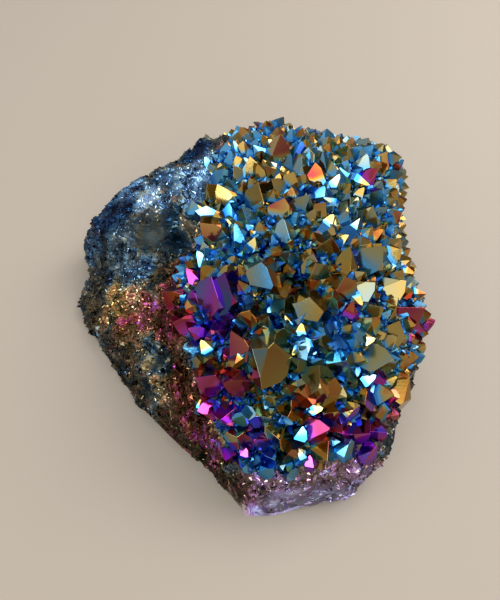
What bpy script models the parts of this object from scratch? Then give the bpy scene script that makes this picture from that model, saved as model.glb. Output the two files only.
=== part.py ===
"""Aura druzy cluster: one broken chunk of quartz whose top is a crust of pointed crystals.

Metres, +Z up, origin under the middle of the chunk on the surface it rests on. The chunk and its crystals
grew as one piece, so they are one solid: a lofted body of rock with every crystal joined into it.
Lengths in this file are millimetres until the finished solid is scaled by MM.
"""

import math
import random

import bmesh
import bpy
from mathutils import Matrix, Vector, noise
from mathutils.bvhtree import BVHTree

MM = 0.001

# The chunk's outline as stations round it, counter-clockwise from the +X side. Each station climbs from the
# foot, on the resting surface, over the broken flank to the rim of the crystal field, then onto the crown.
STATIONS = [
    # foot x, y     low flank x, y, z      high flank x, y, z      rim x, y, z            crown x, y, z
    ((22.0, 7.0), (25.0, 7.3, 8.0), (26.3, 7.6, 17.0), (25.0, 7.5, 21.5), (14.0, 5.0, 27.0)),
    ((23.0, 18.0), (26.5, 19.0, 9.0), (27.8, 20.0, 19.0), (26.0, 19.0, 23.5), (16.0, 13.0, 27.5)),
    ((24.0, 24.0), (27.5, 25.5, 10.0), (29.0, 26.5, 20.5), (26.5, 25.0, 25.5), (16.0, 17.0, 28.3)),
    ((15.0, 26.0), (16.5, 28.0, 11.0), (17.5, 29.0, 22.5), (16.5, 27.0, 26.8), (11.0, 17.5, 29.2)),
    ((6.0, 27.0), (6.3, 30.0, 12.0), (6.7, 31.0, 24.0), (6.5, 29.0, 27.6), (6.0, 18.5, 29.8)),
    ((-1.0, 28.0), (-0.5, 31.0, 12.0), (-0.5, 32.5, 23.5), (0.5, 30.0, 27.2), (2.0, 18.0, 29.3)),
    ((-10.0, 26.0), (-10.5, 29.5, 10.0), (-10.6, 30.6, 22.3), (-5.5, 25.5, 26.2), (-1.0, 15.5, 28.6)),
    ((-18.0, 24.5), (-19.5, 28.0, 9.5), (-18.6, 27.2, 19.8), (-9.5, 19.0, 25.5), (-3.0, 11.5, 28.0)),
    ((-28.0, 23.5), (-30.2, 26.0, 8.2), (-26.6, 24.8, 16.4), (-11.5, 14.0, 24.5), (-4.0, 8.0, 27.0)),
    ((-34.5, 19.5), (-36.2, 19.6, 6.2), (-32.2, 18.2, 13.2), (-12.8, 9.0, 24.0), (-4.5, 4.5, 27.0)),
    ((-35.0, 11.5), (-34.5, 11.0, 4.0), (-26.5, 9.5, 13.0), (-12.5, 3.5, 24.0), (-4.5, 1.5, 26.5)),
    ((-36.0, 5.5), (-35.5, 5.2, 2.5), (-26.5, 3.0, 9.0), (-12.8, -1.0, 23.0), (-4.0, -1.5, 26.5)),
    ((-30.8, -3.5), (-29.5, -3.0, 3.5), (-22.5, -3.0, 11.0), (-12.8, -6.0, 22.0), (-3.5, -5.0, 26.0)),
    ((-22.0, -15.2), (-21.0, -14.5, 4.0), (-16.5, -11.8, 11.5), (-11.2, -12.5, 19.0), (-2.5, -9.0, 25.0)),
    ((-13.2, -24.0), (-12.8, -22.8, 4.0), (-11.3, -20.0, 10.0), (-9.5, -18.5, 16.0), (-1.0, -12.5, 23.5)),
    ((-7.4, -28.3), (-8.0, -27.0, 4.0), (-8.5, -25.0, 8.5), (-7.5, -24.0, 12.5), (0.5, -15.5, 22.0)),
    ((-0.7, -35.3), (-1.0, -34.2, 3.5), (-1.5, -33.0, 6.0), (-0.5, -31.0, 9.0), (3.0, -18.0, 20.5)),
    ((10.0, -33.3), (9.8, -33.3, 3.0), (9.0, -32.5, 6.0), (8.5, -30.5, 9.5), (7.0, -18.5, 20.0)),
    ((16.5, -31.5), (17.5, -31.3, 4.0), (18.0, -30.2, 7.0), (16.0, -28.0, 10.0), (10.5, -17.0, 20.5)),
    ((20.0, -21.0), (22.5, -23.0, 5.0), (23.4, -23.0, 9.5), (21.5, -20.5, 13.5), (13.5, -13.0, 22.5)),
    ((21.5, -13.0), (25.0, -14.3, 6.0), (26.5, -14.6, 12.0), (24.5, -13.0, 16.5), (15.0, -8.5, 24.0)),
    ((23.5, -4.5), (27.5, -5.0, 8.0), (29.3, -5.0, 14.5), (27.5, -4.5, 18.5), (16.0, -4.0, 25.5)),
    ((22.0, 1.5), (25.5, 1.3, 8.0), (27.3, 1.1, 16.0), (25.5, 1.5, 20.5), (15.0, 0.5, 26.5)),
]
SUMMIT = (5.0, 3.0, 29.0)
COLUMNS = 3 * len(STATIONS)
# How far up a station each ring of the skin lies: 0 is the foot, 3 the rim, 4 the crown and 5 the summit.
ROWS = [0.0, 0.35, 0.7, 1.0, 1.35, 1.7, 2.0, 2.35, 2.7, 3.1, 3.7, 4.4, 5.0]

# Rough broken rock: how far its lumps stand in or out, and how wide they are.
LUMP_HEIGHT = 1.2
LUMP_SIZE = 6.5
HEART = (2.5, 1.5, 8.0)  # lumps stand out from this point
LOWEST_LUMP = 0.4
# Its named forms: the middle of each (x, y, z), how far it reaches, and how far it stands out or is sunk.
FORMS = [
    ((-21.0, 11.0, 18.5), 6.5, 1.3),  # the smooth glassy boss on the shoulder
    ((-13.2, 4.6, 22.8), 4.5, -2.6),  # the dark pocket beside the boss
    ((-17.5, 2.0, 18.5), 5.0, -1.6),  # the groove that leads down from the pocket
    ((-27.0, 5.0, 11.0), 4.5, -1.0),  # the notch between the shoulder and the flank
    ((-31.5, 1.5, 4.0), 4.0, 0.8),  # the lobe under the notch
    ((-15.0, 19.5, 22.0), 4.5, 1.2),  # the sparkling ridge along the shoulder
    ((-10.5, 29.5, 22.5), 3.0, 1.6),  # the spur at the back
    ((-15.8, -11.8, 11.5), 4.0, -1.4),  # the valley down the flank
    ((-19.0, -12.0, 7.0), 3.5, 1.2),  # the bright ridge beside the valley
    ((-17.0, -17.0, 5.0), 3.5, 1.0),  # the same ridge further down
    ((-11.5, -19.0, 11.5), 3.5, 0.9),  # the knob under the front crystals
    ((-9.0, -26.5, 4.0), 3.5, -0.9),  # the nick before the front tip
]

# Quartz: a pyramid face leans this far from the crystal's long axis, and the six sides are flat.
FACE_LEAN = math.radians(38.2)
SIDE_APOTHEM = math.cos(math.radians(30))
ROOT_DEPTH = 1.2  # how far a crystal runs on below its shoulder, in half-widths
CROWDING = 1.45  # a crystal's base is this much wider than the part of it that shows among its neighbours
PRISM_LENGTH = 4.0  # before it is cut, in half-widths
UPRIGHT = 0.25  # how far a crystal of the crown turns from the rock's slope towards straight up
SUNK = 0.6  # how deep the shoulder of a side crystal lies, in half-widths

# The crystals that stand out on the crown, by hand: x, y, half-width, then for some the compass direction
# that the point leans to (degrees, 0 is +X and 90 is +Y), how far it leans, and its turn on its own axis.
POINTS = [
    (-8.4, -8.6, 2.5, 230, 12, 10), (-5.6, -7.8, 2.5, 300, 8, 40), (-8.2, -2.2, 1.5),
    (-13.2, -6.3, 1.9, 200, 20, 0), (-11.6, -10.8, 1.9, 210, 20, 20), (-7.0, 3.0, 2.2, 250, 14, 0),
    (-5.2, -1.5, 1.7), (-2.6, -5.0, 1.6), (0.3, -5.8, 2.4, 200, 8, 15), (-1.2, -11.3, 2.0, 0, 10, 0),
    (-6.6, -13.2, 1.5), (-3.6, -15.0, 2.5, 260, 16, 0), (2.0, 25.0, 1.4), (-5.4, 23.4, 1.4),
    (3.8, 18.5, 2.2, 60, 10, 30), (-1.0, 15.3, 1.6), (-3.1, 14.6, 1.4), (0.8, 14.1, 1.4), (7.4, 13.8, 1.7),
    (3.5, 9.7, 1.5), (5.8, 11.2, 1.4), (-5.2, 10.6, 2.0, 120, 10, 0), (-7.8, 12.3, 1.7), (-6.0, 15.0, 1.7),
    (0.3, 8.4, 2.0, 330, 10, 20), (-1.6, 4.6, 1.7), (4.2, 5.4, 1.8), (6.4, 3.4, 1.4), (4.2, 1.6, 1.9),
    (-8.6, 6.6, 1.6), (-4.2, 6.6, 1.4), (7.6, 6.6, 1.7), (7.3, 19.2, 1.4), (12.9, 22.6, 2.0, 60, 8, 0),
    (11.4, 16.2, 1.4), (9.6, 17.8, 1.4), (13.2, 14.4, 1.5), (15.4, 16.0, 1.4), (18.6, 20.8, 1.4),
    (19.1, 18.2, 1.4), (16.2, 19.8, 1.4), (23.4, 21.0, 1.7), (22.8, 17.6, 2.0), (20.0, 16.2, 1.5),
    (10.0, 13.6, 1.8), (15.4, 12.0, 1.4), (10.6, 9.4, 1.4), (15.2, 9.4, 1.4), (20.3, 12.0, 1.7),
    (14.0, 5.8, 1.7), (19.0, 7.8, 1.8), (10.2, 5.8, 1.5), (24.6, 14.8, 1.5), (26.2, 21.2, 1.6),
    (22.8, 8.6, 1.6), (15.0, 2.8, 1.7), (7.4, -0.8, 1.6), (10.8, -1.4, 1.8), (8.8, -5.0, 1.7),
    (14.2, -4.0, 2.0), (18.6, -1.4, 2.3), (22.2, -1.2, 1.5), (23.0, -4.0, 2.0, 0, 20, 0),
    (17.3, -6.6, 2.4, 20, 10, 0), (13.1, -7.2, 1.9), (3.3, -6.8, 1.8), (8.4, -9.3, 2.2, 250, 8, 0),
    (6.7, -11.5, 1.5), (4.0, -9.6, 2.0), (11.1, -9.5, 1.7), (18.3, -9.6, 1.6), (21.6, -8.4, 1.9),
    (24.4, -7.0, 2.8, 300, 10, 0), (17.1, -12.2, 1.5), (9.4, -14.2, 1.8), (14.6, -14.5, 1.5),
    (23.2, -13.3, 2.3, 320, 10, 0), (4.2, -13.4, 1.6), (2.1, -19.0, 3.1, 280, 18, 0),
    (-3.8, -20.0, 2.4, 230, 12, 0), (-8.0, -19.0, 2.1, 200, 10, 0), (-7.5, -22.8, 1.4),
    (-4.8, -24.0, 2.0, 250, 10, 0), (0.7, -24.7, 1.5), (4.7, -23.8, 1.7), (-2.4, -24.2, 1.4),
    (3.3, -26.8, 1.7), (-3.0, -26.8, 1.6), (-0.2, -27.2, 1.6), (7.2, -15.8, 1.6), (6.2, -18.1, 1.5),
    (12.6, -17.5, 2.5, 280, 6, 0), (18.3, -16.8, 2.4, 270, 8, 0), (21.3, -14.6, 1.5),
    (8.3, -19.6, 2.0, 240, 8, 0), (11.5, -21.0, 1.5), (8.5, -22.6, 1.9, 260, 8, 0),
    (16.5, -22.2, 2.9, 300, 10, 0), (22.0, -19.6, 2.4, 330, 12, 0), (13.9, -23.3, 1.4), (10.9, -23.8, 1.4),
    (12.4, -25.7, 1.6), (9.2, -26.0, 1.8), (15.5, -25.5, 1.8), (18.6, -25.4, 1.7), (21.0, -22.8, 1.7),
    (9.7, -28.2, 1.9), (13.4, -27.8, 1.6), (17.2, -28.0, 1.5), (5.2, -28.6, 1.6), (2.2, -29.4, 1.5),
    (-1.8, -30.0, 1.4), (2.0, 28.2, 1.5, 20, 10, 0), (5.8, 28.0, 1.5, 300, 10, 0),
    (9.5, 26.6, 1.5, 200, 8, 0), (13.0, 26.2, 1.5, 120, 6, 0), (9.2, 23.6, 1.5), (-1.6, 26.0, 1.6),
    (16.6, 25.0, 1.5), (20.4, 24.0, 1.6), (24.6, 24.2, 1.6, 200, 10, 0),
]

# Crystals round the rim and down the sides that face away from the broken flank.
SIDE_SEED = 11
SIDE_POINTS = 34
SIDE_HALF_WIDTHS = (1.3, 2.0)
SIDE_BEARINGS = (-50, 112)
SIDE_TILTS = (-10, 40)
SIDE_LOWEST = 13.0  # no crystal grows lower than this
SIDE_STEEPNESS = 0.75  # no crystal of the sides grows where the rock is flatter than this
SIDE_APART = 3.4


def clear_scene():
    """Removes what the scene holds at the start."""
    for obj in list(bpy.data.objects):
        bpy.data.objects.remove(obj)


def catmull_rom(before, start, end, after, share):
    """A point on the smooth curve from start to end, which passes through both."""
    a = 2 * start
    b = end - before
    c = 2 * before - 5 * start + 4 * end - after
    d = 3 * start - before - 3 * end + after
    return (a + b * share + c * share**2 + d * share**3) / 2


def corner(station, level):
    """A station's corner at a whole level: 0 is the foot, 4 the crown and 5 the summit."""
    if level > 4:
        return Vector(SUMMIT)
    place = STATIONS[station % len(STATIONS)][level]
    return Vector((*place, 0.0)[:3])


def skin_point(around, level):
    """A point of the rock's skin: around counts stations, and level climbs from the foot to the summit."""
    station = math.floor(around)
    low = min(int(level), 4)
    ends = []
    for step in (low, low + 1):
        near = [corner(station + k, step) for k in (-1, 0, 1, 2)]
        ends.append(catmull_rom(*near, around - station))
    return ends[0].lerp(ends[1], level - low)


def lump(point):
    """How far broken rock stands out at a point."""
    wide = noise.noise(point / LUMP_SIZE)
    fine = noise.noise(point / (LUMP_SIZE * 0.4) + Vector((9.0, 4.0, 2.0)))
    out = LUMP_HEIGHT * (wide + 0.6 * fine)
    for middle, reach, height in FORMS:
        near = max(0.0, 1 - (point - Vector(middle)).length / reach)
        out += height * near * near * (3 - 2 * near)
    return out


def make_rock():
    """The chunk without crystals: a grid wrapped round the stations, closed at the summit and the foot."""
    bm = bmesh.new()
    bmesh.ops.create_grid(bm, x_segments=COLUMNS, y_segments=len(ROWS) - 1, size=1.0)
    for vert in bm.verts:
        column = round((vert.co.x + 1) / 2 * COLUMNS)
        row = round((vert.co.y + 1) / 2 * (len(ROWS) - 1))
        level = ROWS[row]
        place = skin_point(column % COLUMNS * len(STATIONS) / COLUMNS, level)
        if level > 0:
            place += (place - Vector(HEART)).normalized() * lump(place)
            place.z = max(place.z, LOWEST_LUMP)
        vert.co = place
    bmesh.ops.remove_doubles(bm, verts=bm.verts[:], dist=0.01)
    foot = [edge for edge in bm.edges if edge.is_boundary]
    bmesh.ops.contextual_create(bm, geom=foot)
    bmesh.ops.recalc_face_normals(bm, faces=bm.faces[:])
    return bm


def compass(turn):
    """The level direction at an angle from +X towards +Y."""
    return Vector((math.cos(turn), math.sin(turn), 0.0))


def make_point(chance):
    """One quartz point of half-width 1, up +Z, its shoulder at the origin: a six-sided prism with six faces.

    Every second face is large, and the three between them only trim the corners.
    """
    bm = bmesh.new()
    bmesh.ops.create_cone(bm, cap_ends=True, segments=6, radius1=1.0, radius2=1.0, depth=PRISM_LENGTH)
    bmesh.ops.translate(bm, verts=bm.verts[:], vec=(0, 0, PRISM_LENGTH / 2 - ROOT_DEPTH))
    for k in range(6):
        turn = math.radians(60 * k)
        face = compass(turn) * math.cos(FACE_LEAN) + Vector((0, 0, math.sin(FACE_LEAN)))
        reach = SIDE_APOTHEM * math.cos(FACE_LEAN)
        reach += chance.uniform(-0.10, 0.04) if k % 2 == 0 else chance.uniform(0.06, 0.34)
        cut = bmesh.ops.bisect_plane(bm, geom=bm.verts[:] + bm.edges[:] + bm.faces[:], dist=1e-5,
                                     plane_co=face * reach, plane_no=face, clear_outer=True)
        rim = [part for part in cut["geom_cut"] if isinstance(part, bmesh.types.BMEdge)]
        if rim:
            bmesh.ops.edgeloop_fill(bm, edges=rim)
    wide = chance.uniform(0.86, 1.16)
    bmesh.ops.scale(bm, verts=bm.verts[:], vec=(wide, 1 / wide, 1.0))
    bmesh.ops.recalc_face_normals(bm, faces=bm.faces[:])
    return bm


def leaned(up, toward, lean):
    """The direction up, tipped by lean degrees to the compass direction toward."""
    side = compass(math.radians(toward))
    return (up * math.cos(math.radians(lean)) + side * math.sin(math.radians(lean))).normalized()


def stand(place, axis, half_width, turn, stretch):
    """Where a point of half-width 1 goes: its size, its turn on its axis, its lean and its place."""
    upright = axis.to_track_quat("Z", "Y").to_matrix().to_4x4()
    sized = Matrix.Diagonal((half_width, half_width, half_width * stretch, 1.0))
    return Matrix.Translation(place) @ upright @ Matrix.Rotation(math.radians(turn), 4, "Z") @ sized


def crown_points(rock):
    """Yields (chance, matrix) for each crystal of the list, rooted where a plumb line meets the rock."""
    for number, (x, y, half_width, *pose) in enumerate(POINTS):
        chance = random.Random(number)
        if not pose:
            pose = chance.uniform(0, 360), chance.uniform(2, 20), chance.uniform(0, 120)
        toward, lean, turn = pose
        place, up, _, _ = rock.ray_cast(Vector((x, y, 90.0)), Vector((0, 0, -1)))
        axis = leaned(up.lerp(Vector((0, 0, 1)), UPRIGHT).normalized(), toward, lean)
        place += axis * half_width * chance.uniform(-0.45, 0.05)
        yield chance, stand(place, axis, half_width * CROWDING, turn, chance.uniform(1.1, 1.5))


def side_points(rock):
    """Yields (chance, matrix) for the crystals of the sides, spread by chance but not on the same spot."""
    throw = random.Random(SIDE_SEED)
    hub = Vector((SUMMIT[0], SUMMIT[1], SIDE_LOWEST))
    taken = []
    while len(taken) < SIDE_POINTS:
        bearing = math.radians(throw.uniform(*SIDE_BEARINGS))
        tilt = math.radians(throw.uniform(*SIDE_TILTS))
        ray = compass(bearing) * math.cos(tilt) + Vector((0, 0, math.sin(tilt)))
        place, up, _, _ = rock.ray_cast(hub + ray * 90, -ray)
        if place is None or place.z < SIDE_LOWEST or up.z > SIDE_STEEPNESS:
            continue
        if any((place - other).length < SIDE_APART for other in taken):
            continue
        taken.append(place)
        chance = random.Random(SIDE_SEED + len(taken))
        half_width = chance.uniform(*SIDE_HALF_WIDTHS)
        axis = leaned(up, chance.uniform(0, 360), chance.uniform(0, 18))
        shoulder = place - axis * half_width * SUNK
        yield chance, stand(shoulder, axis, half_width * CROWDING, chance.uniform(0, 120), 1.2)


def add_object(name, bm, collection):
    """Puts a mesh of flat facets, modelled in millimetres, into a collection as an object in metres."""
    bm.transform(Matrix.Scale(MM, 4))
    mesh = bpy.data.meshes.new(name)
    bm.to_mesh(mesh)
    bm.free()
    mesh.shade_flat()
    obj = bpy.data.objects.new(name, mesh)
    collection.objects.link(obj)
    return obj


def aura_coating():
    """Quartz under a thin metal film: mirror-like, between bronze and blue."""
    material = bpy.data.materials.new("aura_coating")
    material.use_nodes = True
    shader = material.node_tree.nodes["Principled BSDF"]
    shader.inputs["Base Color"].default_value = (0.24, 0.20, 0.22, 1.0)
    shader.inputs["Metallic"].default_value = 0.9
    shader.inputs["Roughness"].default_value = 0.25
    return material


def main():
    """Builds the chunk, stands its crystals on it and joins them into one solid."""
    clear_scene()
    cluster = bpy.data.collections.new("aura_druzy_cluster")
    crystals = bpy.data.collections.new("crystals_to_join")
    for collection in (cluster, crystals):
        bpy.context.scene.collection.children.link(collection)
    crystals.hide_render = True

    body = make_rock()
    rock = BVHTree.FromBMesh(body)
    for generate in (crown_points, side_points):
        for number, (chance, matrix) in enumerate(generate(rock)):
            point = make_point(chance)
            point.transform(matrix)
            helper = add_object(f"{generate.__name__}_{number:03d}", point, crystals)
            helper.hide_render = True
            helper.display_type = "WIRE"
    druzy = add_object("druzy_cluster", body, cluster)
    druzy.data.materials.append(aura_coating())
    join = druzy.modifiers.new("join_crystals", "BOOLEAN")
    join.operation = "UNION"
    join.operand_type = "COLLECTION"
    join.collection = crystals


main()
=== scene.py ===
"""Aura druzy cluster: the looks of a broken chunk of quartz whose crystals carry a coloured metal film.

The chunk is made of four pieces: the broken rock, the large quartz points, the small druse between them
and the fine grains on the rock. A studio goes round it. Lengths are millimetres while a piece is modelled,
and metres in the finished mesh.
"""

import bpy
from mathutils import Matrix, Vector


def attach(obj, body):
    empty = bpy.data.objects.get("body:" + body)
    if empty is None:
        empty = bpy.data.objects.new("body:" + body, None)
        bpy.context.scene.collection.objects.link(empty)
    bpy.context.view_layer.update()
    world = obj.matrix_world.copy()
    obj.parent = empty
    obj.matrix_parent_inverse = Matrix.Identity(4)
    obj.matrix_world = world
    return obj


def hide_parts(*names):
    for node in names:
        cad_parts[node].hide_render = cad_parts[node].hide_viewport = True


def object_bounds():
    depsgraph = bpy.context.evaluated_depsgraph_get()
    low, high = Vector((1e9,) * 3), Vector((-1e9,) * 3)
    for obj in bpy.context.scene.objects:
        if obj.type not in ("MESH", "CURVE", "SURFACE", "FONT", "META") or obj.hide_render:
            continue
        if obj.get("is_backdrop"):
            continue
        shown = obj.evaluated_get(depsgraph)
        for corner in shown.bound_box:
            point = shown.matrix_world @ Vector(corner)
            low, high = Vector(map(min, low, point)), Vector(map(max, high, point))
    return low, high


bl_info = {
    "name": "Aura Druzy Cluster",
    "version": (1, 0, 0),
    "blender": (4, 5, 0),
    "location": "View3D > Sidebar > Druzy",
    "description": "Builds a quartz druzy cluster with a rainbow metal film, and a small studio for it",
    "category": "Add Mesh",
}

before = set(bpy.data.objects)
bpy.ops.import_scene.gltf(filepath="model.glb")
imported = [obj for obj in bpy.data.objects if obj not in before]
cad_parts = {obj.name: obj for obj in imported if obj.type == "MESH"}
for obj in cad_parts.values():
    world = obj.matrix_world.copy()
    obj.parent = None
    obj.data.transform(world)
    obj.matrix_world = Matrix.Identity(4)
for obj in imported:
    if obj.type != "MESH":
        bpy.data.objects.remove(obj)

import math
import random

import bpy
import numpy as np
from bpy.props import FloatProperty, FloatVectorProperty, IntProperty, PointerProperty
from mathutils import Matrix, Vector, noise
from mathutils.bvhtree import BVHTree

CAD_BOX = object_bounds()
NODE = "druzy_cluster"
MM = 0.001
UP = Vector((0, 0, 1))
FAR_OUT = 90.0  # rays that look for the rock start this far away
TINY = 1e-9  # keeps a division from being by nothing

# The chunk's outline as stations round it, counter-clockwise from the +X side. Each station climbs from the
# foot, on the resting surface, over the broken flank to the rim of the crystal field, then onto the crown.
STATIONS = [
    # foot x, y     low flank x, y, z      high flank x, y, z      rim x, y, z            crown x, y, z
    ((22.0, 7.0), (25.0, 7.3, 8.0), (26.3, 7.6, 17.0), (25.0, 7.5, 21.5), (14.0, 5.0, 27.0)),
    ((23.0, 18.0), (26.5, 19.0, 9.0), (27.8, 20.0, 19.0), (26.0, 19.0, 23.5), (16.0, 13.0, 27.5)),
    ((24.0, 24.0), (27.5, 25.5, 10.0), (29.0, 26.5, 20.5), (26.5, 25.0, 25.5), (16.0, 17.0, 28.3)),
    ((15.0, 26.0), (16.5, 28.0, 11.0), (17.5, 29.0, 22.5), (16.5, 27.0, 26.8), (11.0, 17.5, 29.2)),
    ((6.0, 27.0), (6.3, 30.0, 12.0), (6.7, 31.0, 24.0), (6.5, 29.0, 27.6), (6.0, 18.5, 29.8)),
    ((-1.0, 28.0), (-0.5, 31.0, 12.0), (-0.5, 32.5, 23.5), (0.5, 30.0, 27.2), (2.0, 18.0, 29.3)),
    ((-10.0, 26.0), (-10.5, 29.5, 10.0), (-10.6, 30.6, 22.3), (-5.5, 25.5, 26.2), (-1.0, 15.5, 28.6)),
    ((-18.0, 24.5), (-19.5, 28.0, 9.5), (-18.6, 27.2, 19.8), (-9.5, 19.0, 25.5), (-3.0, 11.5, 28.0)),
    ((-28.0, 23.5), (-30.2, 26.0, 8.2), (-26.6, 24.8, 16.4), (-11.5, 14.0, 24.5), (-4.0, 8.0, 27.0)),
    ((-34.5, 19.5), (-36.2, 19.6, 6.2), (-32.2, 18.2, 13.2), (-12.8, 9.0, 24.0), (-4.5, 4.5, 27.0)),
    ((-35.0, 11.5), (-34.5, 11.0, 4.0), (-26.5, 9.5, 13.0), (-12.5, 3.5, 24.0), (-4.5, 1.5, 26.5)),
    ((-36.0, 5.5), (-35.5, 5.2, 2.5), (-26.5, 3.0, 9.0), (-12.8, -1.0, 23.0), (-4.0, -1.5, 26.5)),
    ((-30.8, -3.5), (-29.5, -3.0, 3.5), (-22.5, -3.0, 11.0), (-12.8, -6.0, 22.0), (-3.5, -5.0, 26.0)),
    ((-22.0, -15.2), (-21.0, -14.5, 4.0), (-16.5, -11.8, 11.5), (-11.2, -12.5, 19.0), (-2.5, -9.0, 25.0)),
    ((-13.2, -24.0), (-12.8, -22.8, 4.0), (-11.3, -20.0, 10.0), (-9.5, -18.5, 16.0), (-1.0, -12.5, 23.5)),
    ((-7.4, -28.3), (-8.0, -27.0, 4.0), (-8.5, -25.0, 8.5), (-7.5, -24.0, 12.5), (0.5, -15.5, 22.0)),
    ((-0.7, -35.3), (-1.0, -34.2, 3.5), (-1.5, -33.0, 6.0), (-0.5, -31.0, 9.0), (3.0, -18.0, 20.5)),
    ((10.0, -33.3), (9.8, -33.3, 3.0), (9.0, -32.5, 6.0), (8.5, -30.5, 9.5), (7.0, -18.5, 20.0)),
    ((16.5, -31.5), (17.5, -31.3, 4.0), (18.0, -30.2, 7.0), (16.0, -28.0, 10.0), (10.5, -17.0, 20.5)),
    ((20.0, -21.0), (22.5, -23.0, 5.0), (23.4, -23.0, 9.5), (21.5, -20.5, 13.5), (13.5, -13.0, 22.5)),
    ((21.5, -13.0), (25.0, -14.3, 6.0), (26.5, -14.6, 12.0), (24.5, -13.0, 16.5), (15.0, -8.5, 24.0)),
    ((23.5, -4.5), (27.5, -5.0, 8.0), (29.3, -5.0, 14.5), (27.5, -4.5, 18.5), (16.0, -4.0, 25.5)),
    ((22.0, 1.5), (25.5, 1.3, 8.0), (27.3, 1.1, 16.0), (25.5, 1.5, 20.5), (15.0, 0.5, 26.5)),
]
SUMMIT = (5.0, 3.0, 29.0)
COLUMNS = 600
# The rings of the rock's skin: from one level of a station to another, and how many lie between.
RINGS = [(0.0, 1.0, 24), (1.0, 2.0, 34), (2.0, 3.0, 52), (3.0, 3.5, 10), (3.5, 5.0, 8)]
# The coarse skin that crystals are rooted on.
COARSE_COLUMNS = 3 * len(STATIONS)
COARSE_LEVELS = (0.0, 0.35, 0.7, 1.0, 1.35, 1.7, 2.0, 2.35, 2.7, 3.1, 3.7, 4.4, 5.0)

# Rough broken rock: how far its lumps stand in or out, and how wide they are.
LUMP_HEIGHT = 1.2
LUMP_SIZE = 6.5
FINE_LUMP_HEIGHT = 0.6  # the finer lumps, as shares of the others
FINE_LUMP_SIZE = 0.4
FINE_LUMP_SHIFT = (9.0, 4.0, 2.0)  # takes them from another part of the noise
HEART = (2.5, 1.5, 8.0)  # lumps stand out from this point
LOWEST_LUMP = 0.4  # above the foot, the coarse skin stays this high
ROCK_LOWEST = 0.05  # and the fine skin this high
# Its named forms: the middle of each (x, y, z), how far it reaches, and how far it stands out or is sunk.
FORMS = [
    ((-21.0, 11.0, 18.5), 6.5, 1.3),  # the smooth glassy boss on the shoulder
    ((-13.2, 4.6, 22.8), 4.5, -2.6),  # the dark pocket beside the boss
    ((-17.5, 2.0, 18.5), 5.0, -1.6),  # the groove that leads down from the pocket
    ((-27.0, 5.0, 11.0), 4.5, -1.0),  # the notch between the shoulder and the flank
    ((-31.5, 1.5, 4.0), 4.0, 0.8),  # the lobe under the notch
    ((-15.0, 19.5, 22.0), 4.5, 1.2),  # the sparkling ridge along the shoulder
    ((-10.5, 29.5, 22.5), 3.0, 1.6),  # the spur at the back
    ((-15.8, -11.8, 11.5), 4.0, -1.4),  # the valley down the flank
    ((-19.0, -12.0, 7.0), 3.5, 1.2),  # the bright ridge beside the valley
    ((-17.0, -17.0, 5.0), 3.5, 1.0),  # the same ridge further down
    ((-11.5, -19.0, 11.5), 3.5, 0.9),  # the knob under the front crystals
    ((-9.0, -26.5, 4.0), 3.5, -0.9),  # the nick before the front tip
]

# Quartz: a pyramid face leans this far from the crystal's long axis, and the six sides are flat.
FACE_LEAN = math.radians(38.2)
SIDE_APOTHEM = math.cos(math.radians(30))
# How far beyond its place on an even crystal a pyramid face lies, in half-widths: any crystal's three large
# faces, then the three lesser faces of a large crystal and of a small one.
FACE_CUTS = (-0.10, 0.04)
LARGE_CUTS = (0.02, 0.30)
SMALL_CUTS = (-0.04, 0.14)
POINT_WIDTHS = (0.86, 1.16)  # how much wider a crystal is one way than an even one
ROOT_DEPTH = 1.2  # how far a crystal runs on below its shoulder, in half-widths
CROWDING = 1.45  # a crystal's base is this much wider than the part of it that shows among its neighbours
PYRAMID_HEIGHT = SIDE_APOTHEM / math.tan(FACE_LEAN)  # in half-widths
LARGE_FACES = 3  # that one crystal has
PRISM_LENGTH = 4.0  # before it is cut, in half-widths
ALL_ROUND = (0, 360)  # directions, in degrees
TURNS = (0, 120)  # a crystal's turns on its own axis, past which they repeat
POINT_LEANS = (2, 20)  # degrees, for a crystal of the list that has no lean of its own
POINT_RISES = (-0.45, 0.05)  # how far up its axis a crystal is moved, in half-widths
POINT_STRETCHES = (1.1, 1.5)
UPRIGHT = 0.25  # how far a crystal of the crown turns from the rock's slope towards straight up
RIM_FROM = 21.0  # past this x or y the crystals of the crown stand lower
RIM_SUNK = 0.75  # in half-widths
LEADER_SEED = 500
LEADER_FADE = 0.4  # how much lower, as a share of its height, a leading crystal reaches its faces' colours
LEADER_SHADE = 0.75  # how bright a leading crystal is, as a share of the others
SUNK = 0.95  # how deep the shoulder of a side crystal lies, in half-widths

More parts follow.
